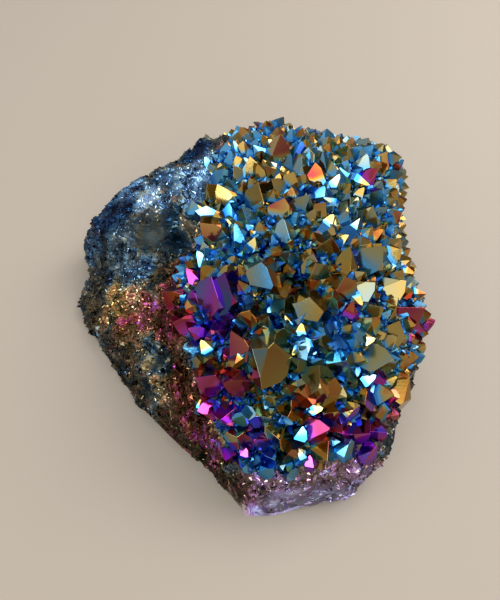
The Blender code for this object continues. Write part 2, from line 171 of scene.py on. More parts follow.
# The crystals that stand out on the crown: the film's colour, x, y, half-width, then for some the
# direction that its tip leans to (degrees, 0 is +X and 90 is +Y), how far it leans, and its turn on its axis.
POINTS = [
    ("violet", -8.4, -8.6, 2.5, 230, 12, 10), ("violet", -5.6, -7.8, 2.5, 300, 8, 40),
    ("ice", -8.2, -2.2, 1.5), ("maroon", -13.2, -6.3, 1.9, 200, 20, 0),
    ("maroon", -11.6, -10.8, 1.9, 210, 20, 20), ("bronze", -7.0, 3.0, 2.2, 250, 14, 0),
    ("azure", -5.2, -1.5, 1.7), ("olive", -2.6, -5.0, 1.6), ("cream", 0.3, -5.8, 2.4, 200, 8, 15),
    ("bronze", -1.2, -11.3, 2.0, 0, 10, 0), ("violet", -6.6, -13.2, 1.5),
    ("orange", -3.6, -15.0, 2.5, 260, 16, 0), ("cream", 2.0, 25.0, 1.4), ("ice", -5.4, 23.4, 1.4),
    ("bronze", 3.8, 18.5, 2.2, 60, 10, 30), ("olive", -1.0, 15.3, 1.6), ("olive", -3.1, 14.6, 1.4),
    ("bronze", 0.8, 14.1, 1.4), ("slate", 7.4, 13.8, 1.7), ("cream", 3.5, 9.7, 1.5),
    ("bronze", 5.8, 11.2, 1.4), ("gold", -5.2, 10.6, 2.0, 120, 10, 0), ("olive", -7.8, 12.3, 1.7),
    ("ice", -6.0, 15.0, 1.7), ("gold", 0.3, 8.4, 2.0, 330, 10, 20), ("ice", -1.6, 4.6, 1.7),
    ("orange", 4.2, 5.4, 1.8), ("ice", 6.4, 3.4, 1.4), ("slate", 4.2, 1.6, 1.9), ("ice", -8.6, 6.6, 1.6),
    ("blue", -4.2, 6.6, 1.4), ("slate", 7.6, 6.6, 1.7), ("deep", 7.3, 19.2, 1.4),
    ("cream", 12.9, 22.6, 2.0, 60, 8, 0), ("ice", 11.4, 16.2, 1.4), ("slate", 9.6, 17.8, 1.4),
    ("cream", 13.2, 14.4, 1.5), ("azure", 15.4, 16.0, 1.4), ("ice", 18.6, 20.8, 1.4),
    ("slate", 19.1, 18.2, 1.4), ("gold", 16.2, 19.8, 1.4), ("bronze", 23.4, 21.0, 1.7),
    ("cream", 22.8, 17.6, 2.0), ("maroon", 20.0, 16.2, 1.5), ("orange", 10.0, 13.6, 1.8),
    ("gold", 15.4, 12.0, 1.4), ("blue", 10.6, 9.4, 1.4), ("slate", 15.2, 9.4, 1.4),
    ("azure", 20.3, 12.0, 1.7), ("cream", 14.0, 5.8, 1.7), ("olive", 19.0, 7.8, 1.8),
    ("bronze", 10.2, 5.8, 1.5), ("bronze", 24.6, 14.8, 1.5), ("maroon", 26.2, 21.2, 1.6),
    ("blue", 22.8, 8.6, 1.6), ("ice", 15.0, 2.8, 1.7), ("gold", 7.4, -0.8, 1.6), ("gold", 10.8, -1.4, 1.8),
    ("olive", 8.8, -5.0, 1.7), ("bronze", 14.2, -4.0, 2.0), ("olive", 18.6, -1.4, 2.3),
    ("ice", 22.2, -1.2, 1.5), ("gold", 23.0, -4.0, 2.0, 0, 20, 0), ("orange", 17.3, -6.6, 2.4, 20, 10, 0),
    ("bronze", 13.1, -7.2, 1.9), ("bronze", 3.3, -6.8, 1.8), ("cream", 8.4, -9.3, 2.2, 250, 8, 0),
    ("azure", 6.7, -11.5, 1.5), ("gold", 4.0, -9.6, 2.0), ("bronze", 11.1, -9.5, 1.7),
    ("olive", 18.3, -9.6, 1.6), ("gold", 21.6, -8.4, 1.9), ("maroon", 24.4, -7.0, 2.8, 300, 10, 0),
    ("gold", 17.1, -12.2, 1.5), ("slate", 9.4, -14.2, 1.8), ("azure", 14.6, -14.5, 1.5),
    ("bronze", 23.2, -13.3, 2.3, 320, 10, 0), ("slate", 4.2, -13.4, 1.6),
    ("olive", 2.1, -19.0, 3.1, 280, 18, 0), ("maroon", -3.8, -20.0, 2.4, 230, 12, 0),
    ("magenta", -8.0, -19.0, 2.1, 200, 10, 0), ("magenta", -7.5, -22.8, 1.4),
    ("violet", -4.8, -24.0, 2.0, 250, 10, 0), ("cream", 0.7, -24.7, 1.5), ("gold", 4.7, -23.8, 1.7),
    ("azure", -2.4, -24.2, 1.4), ("olive", 3.3, -26.8, 1.7), ("olive", -3.0, -26.8, 1.6),
    ("violet", -0.2, -27.2, 1.6), ("ice", 7.2, -15.8, 1.6), ("slate", 6.2, -18.1, 1.5),
    ("azure", 12.6, -17.5, 2.5, 280, 6, 0), ("slate", 18.3, -16.8, 2.4, 270, 8, 0),
    ("ice", 21.3, -14.6, 1.5), ("olive", 8.3, -19.6, 2.0, 240, 8, 0), ("maroon", 11.5, -21.0, 1.5),
    ("gold", 8.5, -22.6, 1.9, 260, 8, 0), ("bronze", 16.5, -22.2, 2.9, 300, 10, 0),
    ("gold", 22.0, -19.6, 2.4, 330, 12, 0), ("cream", 13.9, -23.3, 1.4), ("gold", 10.9, -23.8, 1.4),
    ("magenta", 12.4, -25.7, 1.6), ("magenta", 9.2, -26.0, 1.8), ("violet", 15.5, -25.5, 1.8),
    ("violet", 18.6, -25.4, 1.7), ("maroon", 21.0, -22.8, 1.7), ("bronze", 9.7, -28.2, 1.9),
    ("ice", 13.4, -27.8, 1.6), ("violet", 17.2, -28.0, 1.5), ("orange", 5.2, -28.6, 1.6),
    ("azure", 2.2, -29.4, 1.5), ("blue", -1.8, -30.0, 1.4), ("bronze", 2.0, 28.2, 1.5, 20, 10, 0),
    ("olive", 5.8, 28.0, 1.5, 300, 10, 0), ("slate", 9.5, 26.6, 1.5, 200, 8, 0),
    ("azure", 13.0, 26.2, 1.5, 120, 6, 0), ("blue", 9.2, 23.6, 1.5), ("slate", -1.6, 26.0, 1.6),
    ("slate", 16.6, 25.0, 1.5), ("slate", 20.4, 24.0, 1.6), ("olive", 24.6, 24.2, 1.6, 200, 10, 0),
]

# The crystals that lead the look stand as posed here, in place of the row above with the same x and y. Each
# has its tip, its half-width, the direction it leans to (degrees counter-clockwise from +X: 90 is the back,
# 180 the left and 270 the front), how far it leans from upright, where its first large face looks (degrees
# round it from the back, counter-clockwise seen from its tip), its stretch, and its large faces' tones.
LEADERS = {
    (0.3, -5.8): ((0.5, -6.5, 29.5), 2.2, 260, 12, 50, 0.85, ("olive", "ice", "bronze")),
    (8.4, -9.3): ((7.5, -11.5, 27.5), 2.0, 260, 12, 50, 0.85, ("slate", "cream", "olive")),
    (4.0, -9.6): ((4.0, -11.0, 26.5), 1.9, 270, 40, 0, 1.2, ("bronze", "olive", "olive")),
    (-3.6, -15.0): ((-4.0, -14.5, 23.0), 2.4, 180, 20, 180, 1.0, ("dusk", "maroon", "olive")),
    (2.1, -19.0): ((0.5, -23.5, 21.5), 2.4, 260, 75, 45, 1.6, ("olive", "olive", "olive")),
    (8.3, -19.6): ((9.0, -19.5, 21.5), 2.0, 90, 15, 0, 1.2, ("bronze", "olive", "gold")),
    (8.5, -22.6): ((8.0, -24.5, 18.5), 1.5, 285, 60, 0, 1.2, ("orange", "maroon", "maroon")),
    (16.5, -22.2): ((16.0, -23.5, 16.5), 2.4, 260, 45, 30, 1.2, ("bronze", "maroon", "violet")),
    (22.0, -19.6): ((24.0, -17.5, 15.5), 2.2, 30, 30, 30, 1.2, ("bronze", "gold", "maroon")),
    (23.2, -13.3): ((22.5, -11.0, 20.5), 2.0, 60, 15, 150, 1.2, ("gold", "azure", "slate")),
    (17.3, -6.6): ((18.5, -6.5, 24.5), 2.0, 0, 40, 30, 1.2, ("bronze", "slate", "maroon")),
    (14.2, -4.0): ((14.5, -2.0, 28.0), 1.8, 75, 15, 150, 1.3, ("cream", "maroon", "olive")),
    (7.4, -0.8): ((8.5, -4.0, 28.5), 1.4, 90, 15, 150, 1.2, ("cream", "pink", "olive")),
    (23.0, -4.0): ((24.0, -5.0, 23.0), 1.8, 0, 45, 30, 1.2, ("olive", "cream", "maroon")),
    (0.7, -24.7): ((2.0, -25.5, 16.0), 1.4, 330, 60, 45, 1.2, ("olive", "ice", "slate")),
    (11.5, -21.0): ((11.5, -20.5, 19.5), 1.2, 60, 30, 180, 1.2, ("gold", "maroon", "gold")),
    (24.4, -7.0): ((27.0, -8.5, 20.5), 3.2, 345, 40, 30, 1.3, ("dusk", "maroon", "maroon")),
    (-8.4, -8.6): ((-7.0, -8.5, 28.5), 2.8, 225, 5, 135, 1.6, ("purple", "purple", "purple")),
    (-5.6, -7.8): ((-5.0, -8.5, 29.5), 2.8, 240, 5, 150, 1.6, ("purple", "purple", "purple")),
}

# Crystals too small to stand out of the solid: colour, x, y, half-width.
SMALL_POINTS = [
    ("pink", -10.4, -4.2, 1.3), ("ice", -2.8, 0.8, 1.3), ("slate", -3.8, -6.6, 1.2),
    ("ice", 2.2, -10.7, 1.2), ("magenta", -9.3, -13.0, 1.2), ("blue", -2.5, -12.6, 1.3),
    ("olive", 0.6, -13.7, 1.3), ("bronze", 0.7, 18.3, 1.3), ("bronze", 2.9, 13.2, 1.3),
    ("azure", 5.3, 15.0, 1.3), ("blue", 8.8, 10.0, 1.3), ("azure", 6.4, 24.4, 1.3),
    ("slate", 11.4, 18.8, 1.3), ("cream", 17.4, 14.2, 1.3), ("ice", 12.2, 8.0, 1.3),
    ("slate", 4.8, -3.3, 1.3), ("gold", 5.0, -5.1, 1.2), ("olive", 7.0, -3.5, 1.2),
    ("maroon", 14.4, -10.8, 1.3), ("olive", -7.2, -16.6, 1.3), ("ice", 16.8, -19.2, 1.3),
    ("ice", 6.6, -26.6, 1.3), ("azure", 1.4, -31.0, 1.3), ("azure", 4.8, -31.0, 1.3),
    ("violet", -4.4, -28.4, 1.3), ("ice", -8.5, -2.0, 1.5), ("gold", -3.8, -3.3, 0.9),
    ("cream", -9.0, -21.7, 0.8), ("pink", 8.0, -29.8, 1.0), ("cream", 6.9, -28.9, 1.0),
    ("ice", 11.3, -27.2, 0.9), ("ice", 15.0, -18.5, 0.8), ("ice", 7.3, -16.0, 1.2),
    ("cream", 5.6, -16.4, 0.8), ("azure", 15.3, -15.2, 1.0), ("azure", 19.2, -14.3, 0.9),
    ("cream", 5.0, -12.5, 0.9), ("gold", 13.5, -13.4, 1.1), ("azure", 20.3, -9.6, 1.0),
    ("ice", 12.8, -6.2, 0.8), ("azure", 16.4, -1.0, 0.9), ("azure", 21.3, 2.4, 1.0),
    ("olive", 18.0, 2.6, 1.1), ("ice", 11.9, 7.2, 1.1), ("ice", 15.2, 14.7, 1.0), ("azure", 8.0, 23.3, 0.9),
    ("ice", -1.5, 17.2, 1.0), ("ice", -4.0, 22.5, 1.0), ("ice", -8.7, 20.5, 0.9),
    ("cream", 13.0, 12.3, 1.2),
]

# Amounts for those crystals, of the same kinds as for the large ones.
SMALL_SEED = 1000
SMALL_LEANS = (2, 25)
SMALL_RISES = (0.1, 0.5)
SMALL_STRETCHES = (1.1, 1.6)
SMALL_CROWDING = 1.2

# Crystals round the rim and down the sides that face away from the broken flank.
SIDE_SEED = 11
SIDE_POINTS = 34
SIDE_HALF_WIDTHS = (1.3, 2.0)
SIDE_BEARINGS = (-50, 112)  # degrees from +X towards +Y, seen from the summit
SIDE_TILTS = (-10, 40)  # degrees above level
SIDE_LEANS = (0, 18)
SIDE_LOWEST = 13.0  # no crystal grows lower than this
SIDE_STEEPNESS = 0.75  # no crystal of the sides grows where the rock is flatter than this
SIDE_APART = 3.4  # millimetres
FLANK_STEEPNESS = 0.3  # inside the rim, crystals cover the rock where it is flatter than this

# The film on a crystal, and the shade painted towards its base. Heights are shares of the crystal's own.
FADE_FROM = 0.06  # its base colour ends here
FADE_TO = 0.52  # and its face colour is reached here
BASE_SPREAD = (0, 0.05)
PAINTED_BASE_SHADE = 0.7  # painted shade: how bright its base is, as if its neighbours shaded it
LIT_FROM = 0.5  # from here up it is fully bright, and below it the painted shade deepens
FACE_LIGHT = 0.85  # a face's usual brightness, how far it varies, and to which sides
FACE_CONTRAST = 0.35
FACE_LIGHTS = (-1, 0.6)
FACE_SLOPE = 0.16  # how far the film's tone runs across a face, for each half-width
FACE_SPREAD = 0.035  # how far it varies from face to face
FACE_ROUGHNESS = 0.11
FACE_ROUGHNESS_SPREAD = 0.05
FACE_PALENESS = (0.0, 0.05)
SMALL_PAINTED_SHADE = 0.95  # painted shade: how bright the smallest druse is, down in the gaps between the large crystals
FULL_LIGHT = 1.2  # the half-width from which a crystal is fully bright, without painted shade

# Where a crystal's colours lie on the film's ramp: its most and its least exposed faces, and its base.
TONES = {
    "deep": (0.07, 0.04, 0.02), "blue": (0.13, 0.09, 0.04), "azure": (0.20, 0.14, 0.10),
    "slate": (0.34, 0.24, 0.10), "olive": (0.48, 0.33, 0.08), "gold": (0.55, 0.38, 0.08),
    "bronze": (0.62, 0.45, 0.09), "orange": (0.68, 0.52, 0.12), "dusk": (0.62, 0.78, 0.90),
    "maroon": (0.74, 0.68, 0.86), "purple": (0.89, 0.92, 0.99), "magenta": (0.80, 0.75, 0.86),
    "violet": (0.83, 0.87, 0.90), "pink": (0.80, 0.76, 0.84), "ice": (0.24, 0.16, 0.07),
    "cream": (0.47, 0.32, 0.08),
}
GLINTING = {"ice", "cream", "pink"}  # crystals of these tones turn a face to a window
EXPOSED_TO = (0.5, -0.25, 0.83)  # the side that the film was laid on from

# Parts of the crystal field with their own mixture of colours: middle, reach and tones.
FIELDS = [
    ((-8.0, -9.0, 20.0), 8.0, ("violet", "magenta", "maroon", "dusk", "olive")),
    ((-6.0, -20.0, 14.0), 8.0, ("maroon", "olive", "orange", "dusk", "bronze", "pink")),
    ((0.0, -28.0, 11.0), 7.0, ("pink", "olive", "ice", "bronze", "azure", "cream", "magenta")),
    ((11.0, -27.5, 11.0), 8.0, ("magenta", "pink", "bronze", "cream", "azure", "olive", "ice")),
    ((10.0, -14.0, 21.0), 9.0, ("azure", "ice", "slate", "olive", "azure", "bronze", "cream", "slate")),
    ((20.0, -23.0, 13.0), 7.0, ("violet", "maroon", "dusk", "bronze", "olive")),
    ((27.0, -8.0, 17.0), 6.0, ("maroon", "dusk", "bronze", "magenta")),
    ((-1.0, 25.0, 26.0), 8.0, ("deep", "blue", "azure", "slate", "olive")),
    ((26.0, 24.0, 24.0), 6.0, ("azure", "slate", "olive", "slate")),
]
FIELD_TONES = (
    "olive", "gold", "slate", "bronze", "azure", "bronze", "olive", "gold", "azure", "slate", "gold", "cream")
FIELD_CERTAIN = 0.8  # where nearness to a part's middle passes this, its mixture is sure

# Passes of the druse: how many places are tried, and the least and greatest half-width of its crystals.
DRUSE = [(5000, 0.95, 1.35), (8000, 0.6, 0.8), (9000, 0.38, 0.5)]
DRUSE_SEEDS = 100000  # how far one pass's seeds lie from the next one's
DRUSE_LEANS = (0, 22)
DRUSE_RISES = (-0.3, 0.1)
DRUSE_STRETCHES = (0.85, 1.2)
DRUSE_CROWDING = 1.5  # how much wider the druse is than the part of it that shows
DRUSE_APART = 0.78  # neighbours stand at least this far apart, as a share of their half-widths together
DRUSE_MASTERS = 10  # shapes that the small crystals share
DRUSE_MASTER_SEED = 70
# In the finer passes, this share of the crystals is deep in the gaps and has one of these tones.
GAP_SHARE = 0.6
GAP_TONES = ("deep", "blue", "blue", "azure")
# Where no small crystals grow: middle and reach.
BARE_SPOTS = [
    ((-12.0, 2.5, 24.0), 2.5), ((-11.5, 6.0, 24.5), 2.8), ((-11.5, 12.5, 24.5), 2.8),
    ((-10.5, 17.0, 24.5), 2.8), ((2.0, 31.5, 28.0), 2.5),
]

# The film on the broken rock: middle, reach, tone, how much the tone varies, brightness, roughness, paleness
# and the share of its grains that mirror a window.
# Some rows' brightness is painted shade or a painted highlight, as their notes say.
ROCK_AURAS = [
    ((-31.0, 20.0, 11.0), 6.0, 0.02, 0.05, 0.10, 0.30, 0.05, 0.02),  # violet-black outline of the shoulder
    ((-33.5, 15.0, 9.0), 5.0, 0.08, 0.06, 0.15, 0.30, 0.15, 0.05),
    ((-26.5, 17.5, 15.0), 4.5, 0.03, 0.05, 0.08, 0.30, 0.05, 0.03),  # deep navy hollow, its darkness painted shade
    ((-24.5, 23.0, 16.0), 4.0, 0.08, 0.08, 0.40, 0.28, 0.20, 0.20),  # blue along the crest
    ((-20.0, 17.5, 18.5), 3.5, 0.16, 0.06, 2.20, 0.22, 0.50, 0.50),  # white-blue streaks, partly painted highlight
    ((-16.0, 14.5, 20.5), 3.0, 0.14, 0.06, 0.65, 0.24, 0.30, 0.30),
    ((-18.0, 21.5, 21.0), 3.5, 0.12, 0.07, 0.45, 0.26, 0.20, 0.20),
    ((-13.0, 19.0, 23.0), 4.0, 0.13, 0.07, 0.50, 0.26, 0.25, 0.25),
    ((-10.0, 22.0, 23.0), 4.0, 0.15, 0.07, 0.90, 0.24, 0.30, 0.30),  # pale blue bars, partly painted highlight
    ((-11.5, 27.5, 22.5), 3.5, 0.02, 0.04, 0.10, 0.30, 0.05, 0.03),  # black spur at the back
    ((-18.5, 7.5, 19.5), 4.0, 0.30, 0.05, 0.15, 0.34, 0.15, 0.03),  # glassy boss
    ((-14.5, 4.0, 22.0), 3.2, 0.18, 0.08, 0.04, 0.30, 0.10, 0.00),  # pocket, with the next row: its darkness is painted shade
    ((-14.5, 10.0, 22.0), 3.0, 0.16, 0.08, 0.12, 0.30, 0.10, 0.02),
    ((-11.5, 3.5, 24.0), 3.0, 0.45, 0.12, 0.60, 0.24, 0.25, 0.40),  # pale gold specks beside it
    ((-11.5, 7.0, 24.5), 2.5, 0.44, 0.12, 0.40, 0.24, 0.25, 0.35),
    ((-11.0, 12.5, 24.5), 3.0, 0.14, 0.07, 0.60, 0.24, 0.30, 0.35),  # blue and white specks
    ((-10.0, 17.0, 24.5), 3.0, 0.14, 0.07, 0.70, 0.24, 0.30, 0.35),
    ((-26.0, 10.5, 14.0), 6.0, 0.20, 0.07, 0.25, 0.28, 0.25, 0.06),  # slate-blue fibres
    ((-31.5, 9.5, 7.5), 5.0, 0.30, 0.15, 0.06, 0.30, 0.20, 0.02),  # dark notch, its darkness painted shade
    ((-24.0, 4.5, 13.0), 3.0, 0.14, 0.07, 0.30, 0.24, 0.20, 0.40),  # light blue sparkles
    ((-20.0, 3.0, 16.5), 3.0, 0.12, 0.07, 0.25, 0.24, 0.20, 0.30),
    ((-17.0, 0.0, 18.5), 3.0, 0.40, 0.20, 0.06, 0.30, 0.10, 0.02),  # crease under them, painted dark as shade
    ((-32.0, 2.5, 4.0), 5.0, 0.42, 0.15, 0.12, 0.32, 0.15, 0.04),  # gunmetal edge of the flank
    ((-27.0, 1.0, 9.0), 5.0, 0.48, 0.08, 0.50, 0.24, 0.05, 0.40),  # olive and gold fibres
    ((-22.0, -1.0, 13.0), 4.0, 0.50, 0.12, 0.65, 0.24, 0.15, 0.60),  # pale gold sparkles
    ((-19.5, -5.0, 14.0), 4.0, 0.74, 0.12, 0.60, 0.24, 0.08, 0.45),  # magenta among the gold
    ((-24.0, -4.0, 9.0), 4.0, 0.65, 0.12, 0.40, 0.24, 0.04, 0.30),  # copper
    ((-13.0, -3.0, 21.5), 4.5, 0.70, 0.05, 0.25, 0.20, 0.02, 0.04),  # dark red
    ((-13.5, -9.0, 18.0), 5.0, 0.70, 0.06, 0.15, 0.22, 0.02, 0.05),
    ((-24.5, -7.0, 6.5), 5.0, 0.46, 0.15, 0.12, 0.28, 0.12, 0.12),  # gunmetal with gold
    ((-17.5, -9.5, 11.5), 3.0, 0.22, 0.08, 0.12, 0.28, 0.15, 0.12),  # grey-blue valley
    ((-15.5, -13.0, 10.0), 2.5, 0.24, 0.08, 0.12, 0.28, 0.15, 0.08),
    ((-20.5, -9.5, 9.5), 1.5, 0.50, 0.10, 0.50, 0.22, 0.10, 0.45),  # gold-white ridge down the flank, partly painted highlight
    ((-19.0, -12.0, 8.0), 1.5, 0.50, 0.10, 0.60, 0.22, 0.10, 0.45),
    ((-17.5, -14.5, 7.0), 1.5, 0.48, 0.10, 0.50, 0.22, 0.10, 0.45),
    ((-16.0, -16.5, 6.0), 2.0, 0.50, 0.12, 0.40, 0.22, 0.10, 0.40),
    ((-12.5, -17.0, 12.0), 5.0, 0.66, 0.08, 0.18, 0.24, 0.03, 0.15),  # red-brown under the crystals
    ((-10.5, -22.0, 9.5), 5.0, 0.67, 0.10, 0.18, 0.24, 0.03, 0.15),
    ((-8.0, -26.0, 7.5), 4.5, 0.74, 0.14, 0.25, 0.24, 0.05, 0.20),
    ((-27.5, -7.0, 2.5), 5.0, 0.40, 0.20, 0.08, 0.32, 0.25, 0.04),  # gunmetal along the foot
    ((-21.5, -14.5, 2.0), 5.0, 0.42, 0.20, 0.06, 0.32, 0.15, 0.06),
    ((-14.0, -22.0, 2.0), 5.0, 0.55, 0.18, 0.08, 0.32, 0.10, 0.06),
    ((-8.0, -28.5, 2.5), 4.5, 0.60, 0.16, 0.10, 0.32, 0.10, 0.06),
    ((-2.0, -33.0, 4.0), 4.0, 0.62, 0.12, 0.12, 0.32, 0.20, 0.04),  # dark edge at the front tip
    ((2.0, -32.0, 7.5), 4.0, 0.76, 0.22, 0.50, 0.28, 0.35, 0.35),  # pink and gold under the front crystals
    ((8.5, -32.5, 7.0), 4.0, 0.74, 0.22, 0.50, 0.28, 0.35, 0.35),
    ((15.0, -30.5, 7.5), 4.0, 0.76, 0.20, 0.50, 0.28, 0.35, 0.35),
    ((3.0, -34.5, 3.0), 6.0, 0.93, 0.05, 0.60, 0.40, 0.65, 0.04),  # lilac front face
    ((10.0, -33.5, 3.0), 6.0, 0.93, 0.05, 0.55, 0.40, 0.65, 0.04),
    ((17.0, -31.5, 3.5), 5.0, 0.92, 0.05, 0.45, 0.40, 0.65, 0.04),
]
AURA_SPREAD = 1.25  # how far past its reach each of them fades out, as a share of it
PLAIN_AURA = (0.34, 0.26, 0.22, 0.30, 0.30, 0.08)  # elsewhere on the rock
PLAIN_WEIGHT = 0.03  # how little that weighs where another is near
CROWN_AURA = (0.07, 0.05, 0.60, 0.30, 0.05)  # between the crystals
CROWN_LEVEL = 3.0  # the rock above this level of the stations lies between the crystals
CROWN_SUNK = 0.5  # and lies this much deeper than they are rooted
# Light and dark patches of the rock: how wide, which part of the noise they come from, and how strong.
PATCHES = [(2.6, (5, 1, 7), 1.0), (1.1, (0, 0, 0), 0.5)]
PATCHES_FROM = 2.5  # how soon patches are full where fibres begin
# Streaks away from the summit: how close round it and along it, which part of the noise, and how strong.
STREAKS = [(20, 0.12, 4, 0.9), (52, 0.3, 9, 0.6)]
PATCH_LIGHT = 1.5  # how much patches and streaks change the rock's brightness
SPECKLE_LIGHT = 2.0  # how much one plate's brightness differs from another's
SPECKLE_TONE = 3.0  # and its tone
ROCK_SHADE = 0.7  # how bright the rock is, as a share of its grains
# Where the rock grew in fibres: middle, reach, and how much more or less than elsewhere.
FIBRES = [
    ((-26.0, 0.0, 8.0), 13.0, 1.0),
    ((-17.0, -10.0, 12.0), 9.0, 0.6),
    ((-13.0, -18.0, 9.0), 8.0, 0.6),
    ((-27.0, 10.0, 12.0), 7.0, 0.4),
    ((-19.0, 21.0, 19.0), 9.0, 0.7),
    ((-30.0, 18.0, 11.0), 7.0, 0.5),
    ((-19.0, 9.0, 19.8), 6.5, -0.35),
    ((8.0, -35.0, 2.0), 9.0, -0.3),
]
FIBRES_ELSEWHERE = 0.35
FIBRES_MOST = 1.2
# The strands they grew in: how many for each station, how much they slant and wave for each level, which part
# of the noise they come from, and how high they stand.
STRANDS = [(9.0, 1.5, 1.3, 3.0, 0.9), (26.0, 3.0, 3.5, 8.0, 0.45)]
STRAND_RELIEF = 0.7
# The flat plates that the rock broke into: size, tilt and step. The large ones also show where fibres don't.
LARGE_PLATES = (3.0, 0.45, 0.7)
SMALL_PLATES = (1.0, 0.55, 0.3)
TINY_PLATES = (0.45, 0.6, 0.12)
LARGE_PLATES_MORE = 0.25
LARGE_PLATES_MOST = 0.9
PLATE_TILT_CHANGE = 3.7  # how far apart in the noise two plates' tilts and steps are taken
PLATE_STEP_CHANGE = 2.3
GRIT_BELOW = 3.6  # the level of the stations where the fine relief ends
WELD = 0.002  # points of the skin closer than this are one
PLATE_SEED = 5  # fixes how the plates tilt, so that every run builds the same rock
PLATE_RELIEF = 1.5  # how much more the largest plates of the broken rock stand out than the small ones

GRAIN_SEED = 31
GRAIN_SHAPES = 6  # five-sided cones, knocked about by chance: how many kinds, how high and how uneven
GRAIN_HEIGHT = 1.6
GRAIN_UNEVEN = 0.45
GRAIN_STRAY = 0.5  # how much a grain's length strays from straight down the slope
GRAIN_LEAN = 0.45  # how much its axis strays from the rock's slope
GRAIN_SUNK = 0.25  # how deep a grain sits, in its own half-widths
GRAIN_LOWEST = 0.03  # above the floor
GRAIN_SIZES = (0.15, 0.24, 0.55)  # least, usual and greatest half-width of a fine grain
GRAIN_STRETCH = (1.0, 2.2)  # how long a grain is, compared with a round one
GRAIN_SHINE = 0.8  # how much one grain's brightness differs from another's
GRAIN_PALENESS = (0.4, 1.4)  # as a share of the rock's there
GRAIN_SPREAD = 0.04  # how far the film's tone varies from side to side
# Grains that mirror a window: their brightness as a share of the rock's there (a painted highlight on top of
# the real mirror), the least that the rock's is taken to be, how theirs varies, their roughness, and how many
# of them mirror the right window.
GLINT_PAINTED_LIGHT = 1.3
GLINT_LEAST = 0.15
GLINT_SHINES = (0.4, 1.6)
GLINT_ROUGHNESS = 0.14
GLINTS_FROM_WINDOW = 0.6
ANY_DIRECTION = (0.3, 0.5, 0.8)  # along no facet of a grain
# Parts of the rock that are smoother: middle, reach, and how many of the grains are missing.
SMOOTH_PARTS = [
    ((-18.5, 8.0, 19.5), 5.0, 0.8),
    ((-14.5, 4.0, 22.0), 2.5, 0.8),
    ((3.0, -35.5, 1.5), 6.0, 0.7),
    ((10.0, -34.5, 1.5), 6.0, 0.7),
]

# The film's fine detail: how the tone wavers, and the growth marks in the mirror. Noise is in waves a metre.
WAVER_SCALE = 380.0
WAVER_DETAIL = 3.0
MARK_DETAIL = 4.0
MARK_STRENGTH = 0.25
MARK_DEPTH = 0.00002  # metres
ROCK_WAVER = 0.10  # how far the tone wavers on the rock, and on grains and crystals
FACE_WAVER = 0.05
ROCK_MARKS = 5200.0  # how fine the marks are on the rock and its grains, and on crystals
FACE_MARKS = 2600.0

# The studio, in millimetres: the camera looks down at the chunk, and soft windows stand round it.
FLOOR_SIZE = 3.0  # metres
FLOOR_ROUGHNESS = 0.6
CAMERA_AT = (-1.2, -56.75, 89.05)
CAMERA_DOWN = 54.0  # degrees below level
CAMERA_LENS = 31.2  # for a sensor this wide
CAMERA_SENSOR = 36.0
CAMERA_NEAREST = 0.005  # metres
ROOM_COLOUR = (0.95, 0.97, 1.0, 1.0)
# The room is brightest towards one side: how its brightness there and opposite compares with the setting.
ROOM_BRIGHT_SIDE = (-0.6, -0.45, 0.3)
ROOM_BRIGHT = 1.7
ROOM_DARK = 0.3
# The lights, each under the name of the setting that holds its power: middle, width and height.
WINDOW_AT = (290.0, 170.0, 340.0)
FRONT_AT = (-90.0, -420.0, 120.0)
WINDOWS = (WINDOW_AT, FRONT_AT)  # the two that crystals mirror
LIGHTS = {
    "window": (WINDOW_AT, 300.0, 260.0),
    "front": (FRONT_AT, 90.0, 70.0),
    "fill": ((-380.0, -60.0, 160.0), 300.0, 160.0),
    "sky": ((60.0, 200.0, 420.0), 300.0, 300.0),
    "wall": ((150.0, -450.0, 350.0), 360.0, 240.0),
}


def catmull_rom(before, start, end, after, share):
    """A point on the smooth curve from start to end, which passes through both."""
    a = 2 * start
    b = end - before
    c = 2 * before - 5 * start + 4 * end - after
    d = 3 * start - before - 3 * end + after
    return (a + b * share + c * share**2 + d * share**3) / 2


def corner(station, level):
    """A station's corner at a whole level: 0 is the foot, 4 the crown and 5 the summit."""
    if level > 4:
        return Vector(SUMMIT)
    place = STATIONS[station % len(STATIONS)][level]
    return Vector((*place, 0.0)[:3])


def skin_profile(around):
    """The chunk's profile at one place round it, counted in stations: a point for each whole level."""
    station = math.floor(around)
    near = range(station - 1, station + 3)
    return [catmull_rom(*(corner(k, level) for k in near), around - station) for level in range(6)]


def climb(profile, level):
    """A point of a profile between two whole levels."""
    low = min(int(level), 4)
    return profile[low].lerp(profile[low + 1], level - low)


def nearness(point, middle, reach):
    """1 where a point is at the middle of something, falling to 0 at its reach."""
    return max(0.0, 1 - (point - Vector(middle)).length / reach)


def unit(direction):
    """A direction, as an array, brought to length 1."""
    return direction / np.linalg.norm(direction)


def lump(point):
    """How far broken rock stands out at a point."""
    wide = noise.noise(point / LUMP_SIZE)
    fine = noise.noise(point / (LUMP_SIZE * FINE_LUMP_SIZE) + Vector(FINE_LUMP_SHIFT))
    out = LUMP_HEIGHT * (wide + FINE_LUMP_HEIGHT * fine)
    for middle, reach, height in FORMS:
        near = nearness(point, middle, reach)
        out += height * near * near * (3 - 2 * near)
    return out


def plate(point, size, tilt, step):
    """Broken rock's flat plates: how far the plate at a point stands out, and a number that is its own."""
    middle = noise.voronoi(point / size)[1][0] * size
    slope = noise.noise_vector(middle * PLATE_TILT_CHANGE)
    own = noise.noise(middle * PLATE_STEP_CHANGE)
    return (point - middle).dot(slope) * tilt + own * step, own


def rock_levels():
    """How far up the stations each ring of the rock's skin lies."""
    levels = []
    for low, high, count in RINGS:
        levels += [low + (high - low) * k / count for k in range(count)]
    return levels + [RINGS[-1][1]]


